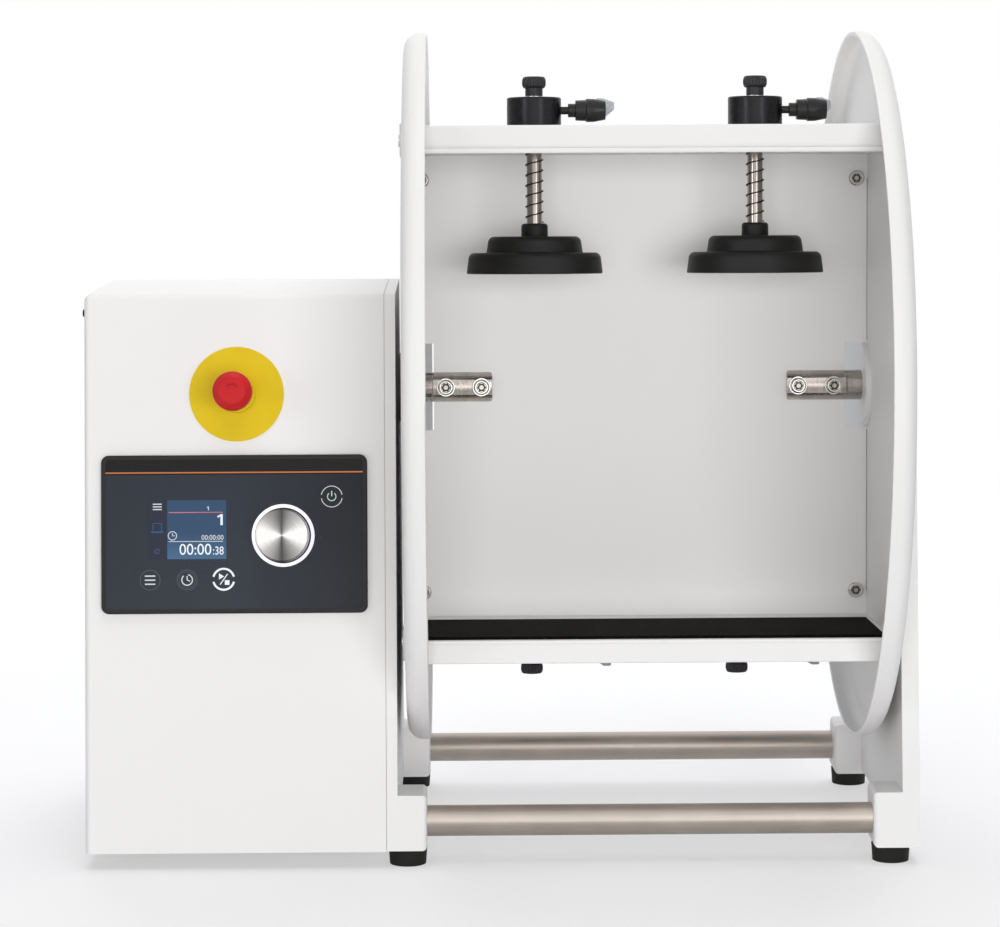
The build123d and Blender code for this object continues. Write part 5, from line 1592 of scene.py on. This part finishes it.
@dataclass
class ScrewFaces:
    """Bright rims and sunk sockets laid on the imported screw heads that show, in millimetres."""

    sink: float = 0.45
    socket: float = 2.9
    front: float = -3.0
    reach_x: float = 151.0
    reach_z: float = 150.0
    head_reach: float = 11.0
    shaft_front: float = -10.0
    washer_drop: float = 0.4
    count: int = 0

    def heads(self) -> list[tuple[np.ndarray, float]]:
        """Finds the screw heads that show, in the cradle's own frame.

        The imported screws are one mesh. Its points in front of the cradle's middle that lie
        within one head's reach of each other are taken as one head.

        Returns:
            A (middle, radius) pair for each head, in millimetres.
        """
        cradle = cradle_frame()
        local = cradle.to_local(points_of(frame["nodes"]["cradle_screws"].data)) / MM
        beside, ahead, above = np.abs(local[:, 0]), local[:, 1], np.abs(local[:, 2])
        showing = local[(ahead < self.front) & (beside < self.reach_x) & (above < self.reach_z)]
        found = []
        while len(showing):
            offset = showing - showing[0]
            near = np.hypot(offset[:, 0], offset[:, 2]) < self.head_reach
            group = showing[near]
            showing = showing[~near]
            low, high = group.min(0), group.max(0)
            middle = (low + high) / 2
            middle[1] = low[1]
            found.append((middle, (high[0] - low[0]) / 2))
        return found

    def build(self) -> None:
        """Lays a chamfered rim with a sunk socket on every showing head, the socket's floor dark
        steel as painted shade.
        """
        cradle = cradle_frame()
        for middle, radius in self.heads():
            self.count += 1
            axes = np.stack([cradle.axes[0], cradle.axes[2], -cradle.axes[1]])
            face = Placement(cradle.to_world(middle * MM), axes)
            rim = np.array(
                [
                    [radius + 0.08, -1.6],
                    [radius + 0.08, 0.1],
                    [radius - 0.7, self.sink + 0.25],
                    [self.socket + 0.5, self.sink + 0.25],
                    [self.socket, 0.05],
                ]
            )
            line = rounded(rim, np.array([0, 0.2, 0.3, 0.3, 0])) * MM
            ring = build_mesh("rim", face.to_world(revolve(line, 48)), caps=False)
            hexagon = arc((0.0, 0.0), self.socket + 0.05, 0, 300, 6)
            if middle[1] < self.shaft_front:
                washer = np.array([[5.05, -4.4], [5.3, -3.6], [5.9, -3.6], [6.15, -4.4]]) * MM
                seat = build_mesh("washer", face.to_world(revolve(washer, 48)), caps=False)
            else:
                lower = line - [0.0, self.washer_drop * MM]
                seat = build_mesh("washer", face.to_world(revolve(lower, 48)), caps=False)
            # The socket's floor is painted shade: dark steel where the shallow recess would be shaded.
            floor = build_mesh("socket", face.to_world(prism(hexagon, 0.02, 0.12) * MM))
            round_line = arc((0, 0), 1.5, 0, 345, 24)
            dot = build_mesh("dot", face.to_world(prism(round_line, 0.1, 0.2) * MM))
            parts = [(seat, SCREW_STEEL), (ring, SCREW_STEEL)]
            parts += [(floor, SOCKET_PAINTED_SHADE), (dot, TURNED_STEEL)]
            piece = merge(f"socket_screw_face_{self.count}", parts)
            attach(piece, "cradle")


@dataclass
class ShaftCheeks:
    """Raised flat on each milled shaft end, with a round shoulder above and below it.

    Lengths are millimetres in the cradle's own frame.
    """

    radius: float = 10.05
    seat: float = 6.9
    flat: float = 8.7
    span: tuple[float, float] = (98.55, 138.5)
    edge: float = 0.7

    def build(self) -> None:
        """Adds a cheek to both shafts.

        The section is the part of the shaft's circle between the seat and the flat, closed by
        both; towards each end it shrinks over the edge length, which rounds the ends.
        """
        cradle = cradle_frame()
        low, high = np.arcsin(self.seat / self.radius), np.arcsin(self.flat / self.radius)
        shoulder = np.linspace(low, high, 9)
        circle = np.concatenate([shoulder, np.pi - shoulder[::-1]])
        outline = np.stack([-self.radius * np.sin(circle), self.radius * np.cos(circle)], -1)
        start, end = self.span
        x = np.array([start, start + 0.2 * self.edge, start + self.edge, end - 0.3, end])
        depth = np.array([0.55, 0.85, 1.0, 1.0, 0.6])
        for side, node in ((-1, "drive"), (1, "idle")):
            y = -self.seat + (outline[None, :, 0] + self.seat) * depth[:, None]
            z = np.broadcast_to(outline[None, :, 1], y.shape)
            grid = np.stack([np.broadcast_to(side * x[:, None], y.shape), y, z], -1) * MM
            piece = build_mesh(f"{node}_shaft_cheek", cradle.to_world(grid))
            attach(dress(piece, TURNED_STEEL), "cradle")


@dataclass
class ShelfTrim:
    """Folded hems along the shelves' inner edges, and black strips as painted shadow in the thin
    gaps at the panel ends.

    Lengths are millimetres in the cradle's own frame.
    """

    half_length: float = 152.5
    face: float = 140.0
    upper_hem: float = 153.35
    lower_hem: float = 155.75
    hem: float = 2.5
    proud: float = 0.7
    upper_lift: float = 0.35
    upper_inset: float = 0.55
    points: int = 20
    seam_x: float = 152.55
    seam_half: float = 0.14
    seam_front: float = -1.75
    seam_back: float = -1.0
    seam_heights: tuple[float, float] = (30.0, 138.0)

    def hems(self) -> None:
        """Half-round bead along both long inner edges of each shelf.

        The bead's section is an ellipse, half the hem high and twice the proudness deep, whose
        middle lies in the shelf's front face.
        """
        cradle = cradle_frame()
        t = np.linspace(0, 2 * np.pi, self.points, endpoint=False)
        span = np.array([-self.half_length, self.half_length])[:, None]
        for number, (up, side) in enumerate(((1, -1), (1, 1), (-1, -1), (-1, 1)), 1):
            middle = self.upper_hem if up > 0 else -self.lower_hem
            lift, inset = (self.upper_lift, self.upper_inset) if up > 0 else (0.0, 0.0)
            height = middle + (self.hem / 2 + lift) * np.sin(t)
            depth = side * (self.face - inset) + self.proud * np.cos(t)
            grid = np.stack(np.broadcast_arrays(span, depth, height), -1) * MM
            piece = build_mesh(f"shelf_hem_{number}", cradle.to_world(grid))
            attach(dress(piece, POWDER_WHITE), "cradle")

    def seams(self) -> None:
        """Painted shadow: a black hairline strip where each panel end stands off its disc, above
        and below the shaft.
        """
        cradle = cradle_frame()
        near, far = self.seam_heights
        front, back, half = self.seam_front, self.seam_back, self.seam_half
        number = 0
        for side in (-1, 1):
            for low, high in ((near, far), (-far, -near)):
                number += 1
                x = side * self.seam_x
                corners = np.array(
                    [[x - half, front], [x + half, front], [x + half, back], [x - half, back]]
                )
                grid = prism(corners, low, high) * MM
                # The black strip is painted shadow, standing in for the shade in the gap.
                piece = build_mesh(f"panel_end_painted_shadow_{number}", cradle.to_world(grid))
                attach(dress(piece, BLACK_PLASTIC), "cradle")

    def build(self) -> None:
        """Adds the hems and the painted shadow strips in the gaps."""
        self.hems()
        self.seams()


@dataclass
class Studio:
    """White room with soft lights and the camera that looks a little down on the front.

    Positions are metres; angles are radians, yaw towards plus X, pitch downwards.
    """

    eye: tuple[float, float, float] = (-0.0237, -2.2046, 0.5063)
    pitch: float = 0.11793
    yaw: float = 0.01129
    roll: float = 0.00455
    lens: float = 118.94
    floor_radius: float = 0.62
    floor_fade: float = 0.5
    floor_half: float = 12.0
    floor_share: float = 0.45
    world_light: float = 0.2
    floor_glow: float = 1.0
    floor_bounce: float = 0.5

    def camera(self) -> None:
        """Places the camera by its three turns and makes it the scene's own."""
        level = cos(self.pitch)
        ahead = np.array([sin(self.yaw) * level, cos(self.yaw) * level, -sin(self.pitch)])
        right = np.array([cos(self.yaw), -sin(self.yaw), 0.0])
        down = np.cross(ahead, right)
        image_right = right * cos(self.roll) + down * sin(self.roll)
        image_down = down * cos(self.roll) - right * sin(self.roll)
        turn = np.eye(4)
        turn[:3, 0] = image_right
        turn[:3, 1] = -image_down
        turn[:3, 2] = -ahead
        turn[:3, 3] = self.eye
        data = bpy.data.cameras.new("camera")
        data.lens = self.lens
        data.sensor_width = 36.0
        data.sensor_fit = "HORIZONTAL"
        data.clip_end = 50.0
        holder = bpy.data.objects.new("camera", data)
        bpy.context.scene.collection.objects.link(holder)
        holder.matrix_world = Matrix(turn.tolist())
        bpy.context.scene.camera = holder

    def lamp(
        self, name: str, place: tuple, aim: tuple, size: tuple, power: float, colour: str, use: Lamp
    ) -> None:
        """Adds one rectangular soft light.

        Args:
            name: name of the light.
            place: where it hangs, in metres.
            aim: point it faces.
            size: its width and height.
            power: its output in watts.
            colour: sRGB hex of its light.
            use: whether it lights surfaces or only shows in glossy ones.
        """
        data = bpy.data.lights.new(name, "AREA")
        data.shape = "RECTANGLE"
        data.size, data.size_y = size
        data.energy = power
        data.color = linear(colour)[:3]
        holder = bpy.data.objects.new(name, data)
        holder.visible_camera = False
        holder.visible_diffuse = use is Lamp.LIT_ONLY
        holder.visible_glossy = use is Lamp.MIRRORED_ONLY
        bpy.context.scene.collection.objects.link(holder)
        ahead = np.array(aim, float) - np.array(place, float)
        ahead /= np.linalg.norm(ahead)
        side = np.cross(ahead, np.array([0.0, 0.0, 1.0]))
        side /= np.linalg.norm(side)
        turn = np.eye(4)
        turn[:3, 0] = side
        turn[:3, 1] = np.cross(side, ahead)
        turn[:3, 2] = -ahead
        turn[:3, 3] = place
        holder.matrix_world = Matrix(turn.tolist())

    def world(self) -> None:
        """White surroundings: pure white where seen or mirrored, and softer light on surfaces."""
        made = bpy.data.worlds.new("white_room")
        made.use_nodes = True
        made.node_tree.nodes.clear()
        ray = add_node(made, "ShaderNodeLightPath")
        mirrored = add_node(
            made,
            "ShaderNodeMath",
            {},
            {0: ray.outputs["Is Glossy Ray"], 1: ray.outputs["Is Transmission Ray"]},
            operation="MAXIMUM",
        )
        shown = add_node(
            made,
            "ShaderNodeMath",
            {},
            {0: ray.outputs["Is Camera Ray"], 1: mirrored.outputs[0]},
            operation="MAXIMUM",
        )
        white = linear("#FFFFFF")
        seen = add_node(made, "ShaderNodeBackground", {"Color": white, "Strength": 1.0})
        tint = linear("#F6F7F8")
        soft = add_node(made, "ShaderNodeBackground", {"Color": tint, "Strength": self.world_light})
        both = add_node(
            made,
            "ShaderNodeMixShader",
            {},
            {0: shown.outputs[0], 1: soft.outputs[0], 2: seen.outputs[0]},
        )
        add_node(made, "ShaderNodeOutputWorld", None, {"Surface": both.outputs[0]})
        bpy.context.scene.world = made

    def floor(self) -> None:
        """Pale floor that carries the soft shadow and fades to pure white away from it."""
        sides = (-self.floor_half, self.floor_half)
        grid = np.array([[[x, y, 0.0] for x in sides] for y in sides])
        piece = build_mesh("floor", grid, Wrap.OPEN, False)
        made = bpy.data.materials.new("pale_studio_floor")
        made.use_nodes = True
        made.node_tree.nodes.clear()
        position = add_node(made, "ShaderNodeTexCoord").outputs["Object"]
        away = add_node(made, "ShaderNodeVectorMath", None, {0: position}, operation="LENGTH")
        share = add_node(
            made,
            "ShaderNodeMapRange",
            {
                "From Min": self.floor_radius,
                "From Max": self.floor_radius + self.floor_fade,
                "To Min": self.floor_share,
            },
            {"Value": away.outputs["Value"]},
            interpolation_type="SMOOTHSTEP",
        )
        plain = add_node(made, "ShaderNodeBsdfDiffuse", {"Color": linear("#FBFAFC")})
        ray = add_node(made, "ShaderNodeLightPath")
        strength = add_node(
            made,
            "ShaderNodeMapRange",
            {"To Min": self.floor_bounce, "To Max": self.floor_glow},
            {"Value": ray.outputs["Is Camera Ray"]},
        )
        glow = add_node(
            made,
            "ShaderNodeEmission",
            {"Color": linear("#FFFFFF")},
            {"Strength": strength.outputs["Result"]},
        )
        both = add_node(
            made,
            "ShaderNodeMixShader",
            {},
            {0: share.outputs["Result"], 1: plain.outputs[0], 2: glow.outputs[0]},
        )
        add_node(made, "ShaderNodeOutputMaterial", None, {"Surface": both.outputs[0]})
        piece.data.materials.append(made)

    def build(self) -> None:
        """Sets the camera, surroundings, floor and lights."""
        self.camera()
        self.world()
        self.floor()
        lit, glossy = Lamp.LIT_ONLY, Lamp.MIRRORED_ONLY
        lamps = (
            ("front_light", (0.4, -2.9, 0.5), (0.0, 0.0, 0.28), (2.0, 0.85), 45.0, "#FFFFFF", lit),
            ("left_light", (-1.9, -1.9, 0.6), (0.1, 0.0, 0.3), (1.0, 1.0), 7.0, "#FFFFFF", lit),
            ("front_card", (0.2, -2.9, 0.37), (0.1, 0.0, 0.25), (1.8, 0.42), 5.2, "#FFFEFC", glossy),
            ("left_strip", (-1.7, -1.95, 0.7), (0.0, 0.0, 0.35), (0.3, 1.1), 6.5, "#F4F7FF", glossy),
            ("right_strip", (1.22, -2.3, 0.7), (0.0, 0.0, 0.35), (0.25, 1.1), 5.5, "#F4F7FF", glossy),
            ("high_card", (-0.35, -2.6, 1.55), (-0.1, 0.0, 0.2), (1.5, 0.6), 2.4, "#FFFFFF", glossy),
            ("top_light", (0.1, 0.0, 2.3), (0.0, 0.0, 0.2), (2.4, 1.8), 30.0, "#FFFFFF", lit),
            ("back_light", (0.1, 1.9, 0.65), (0.1, 0.0, 0.3), (4.6, 1.1), 27.0, "#EAF1FF", lit),
            ("rear_top_light", (0.1, 1.9, 1.8), (0.1, 0.0, 0.0), (2.4, 1.0), 17.0, "#FFFFFF", lit),
        )
        for lamp in lamps:
            self.lamp(*lamp)


def main() -> None:
    """Dresses the model, adds the detailed pieces and sets the studio."""
    scene = bpy.context.scene
    scene.view_settings.view_transform = "Standard"
    Carried().dress()
    ControlPanel.on_glass().build()
    Dial().build()
    EmergencyStop().build()
    for number in range(1, 5):
        SpringClamp.from_frame(number).build()
    ScrewFaces().build()
    ShaftCheeks().build()
    ShelfTrim().build()
    Studio().build()


if __name__ == "__main__":
    main()
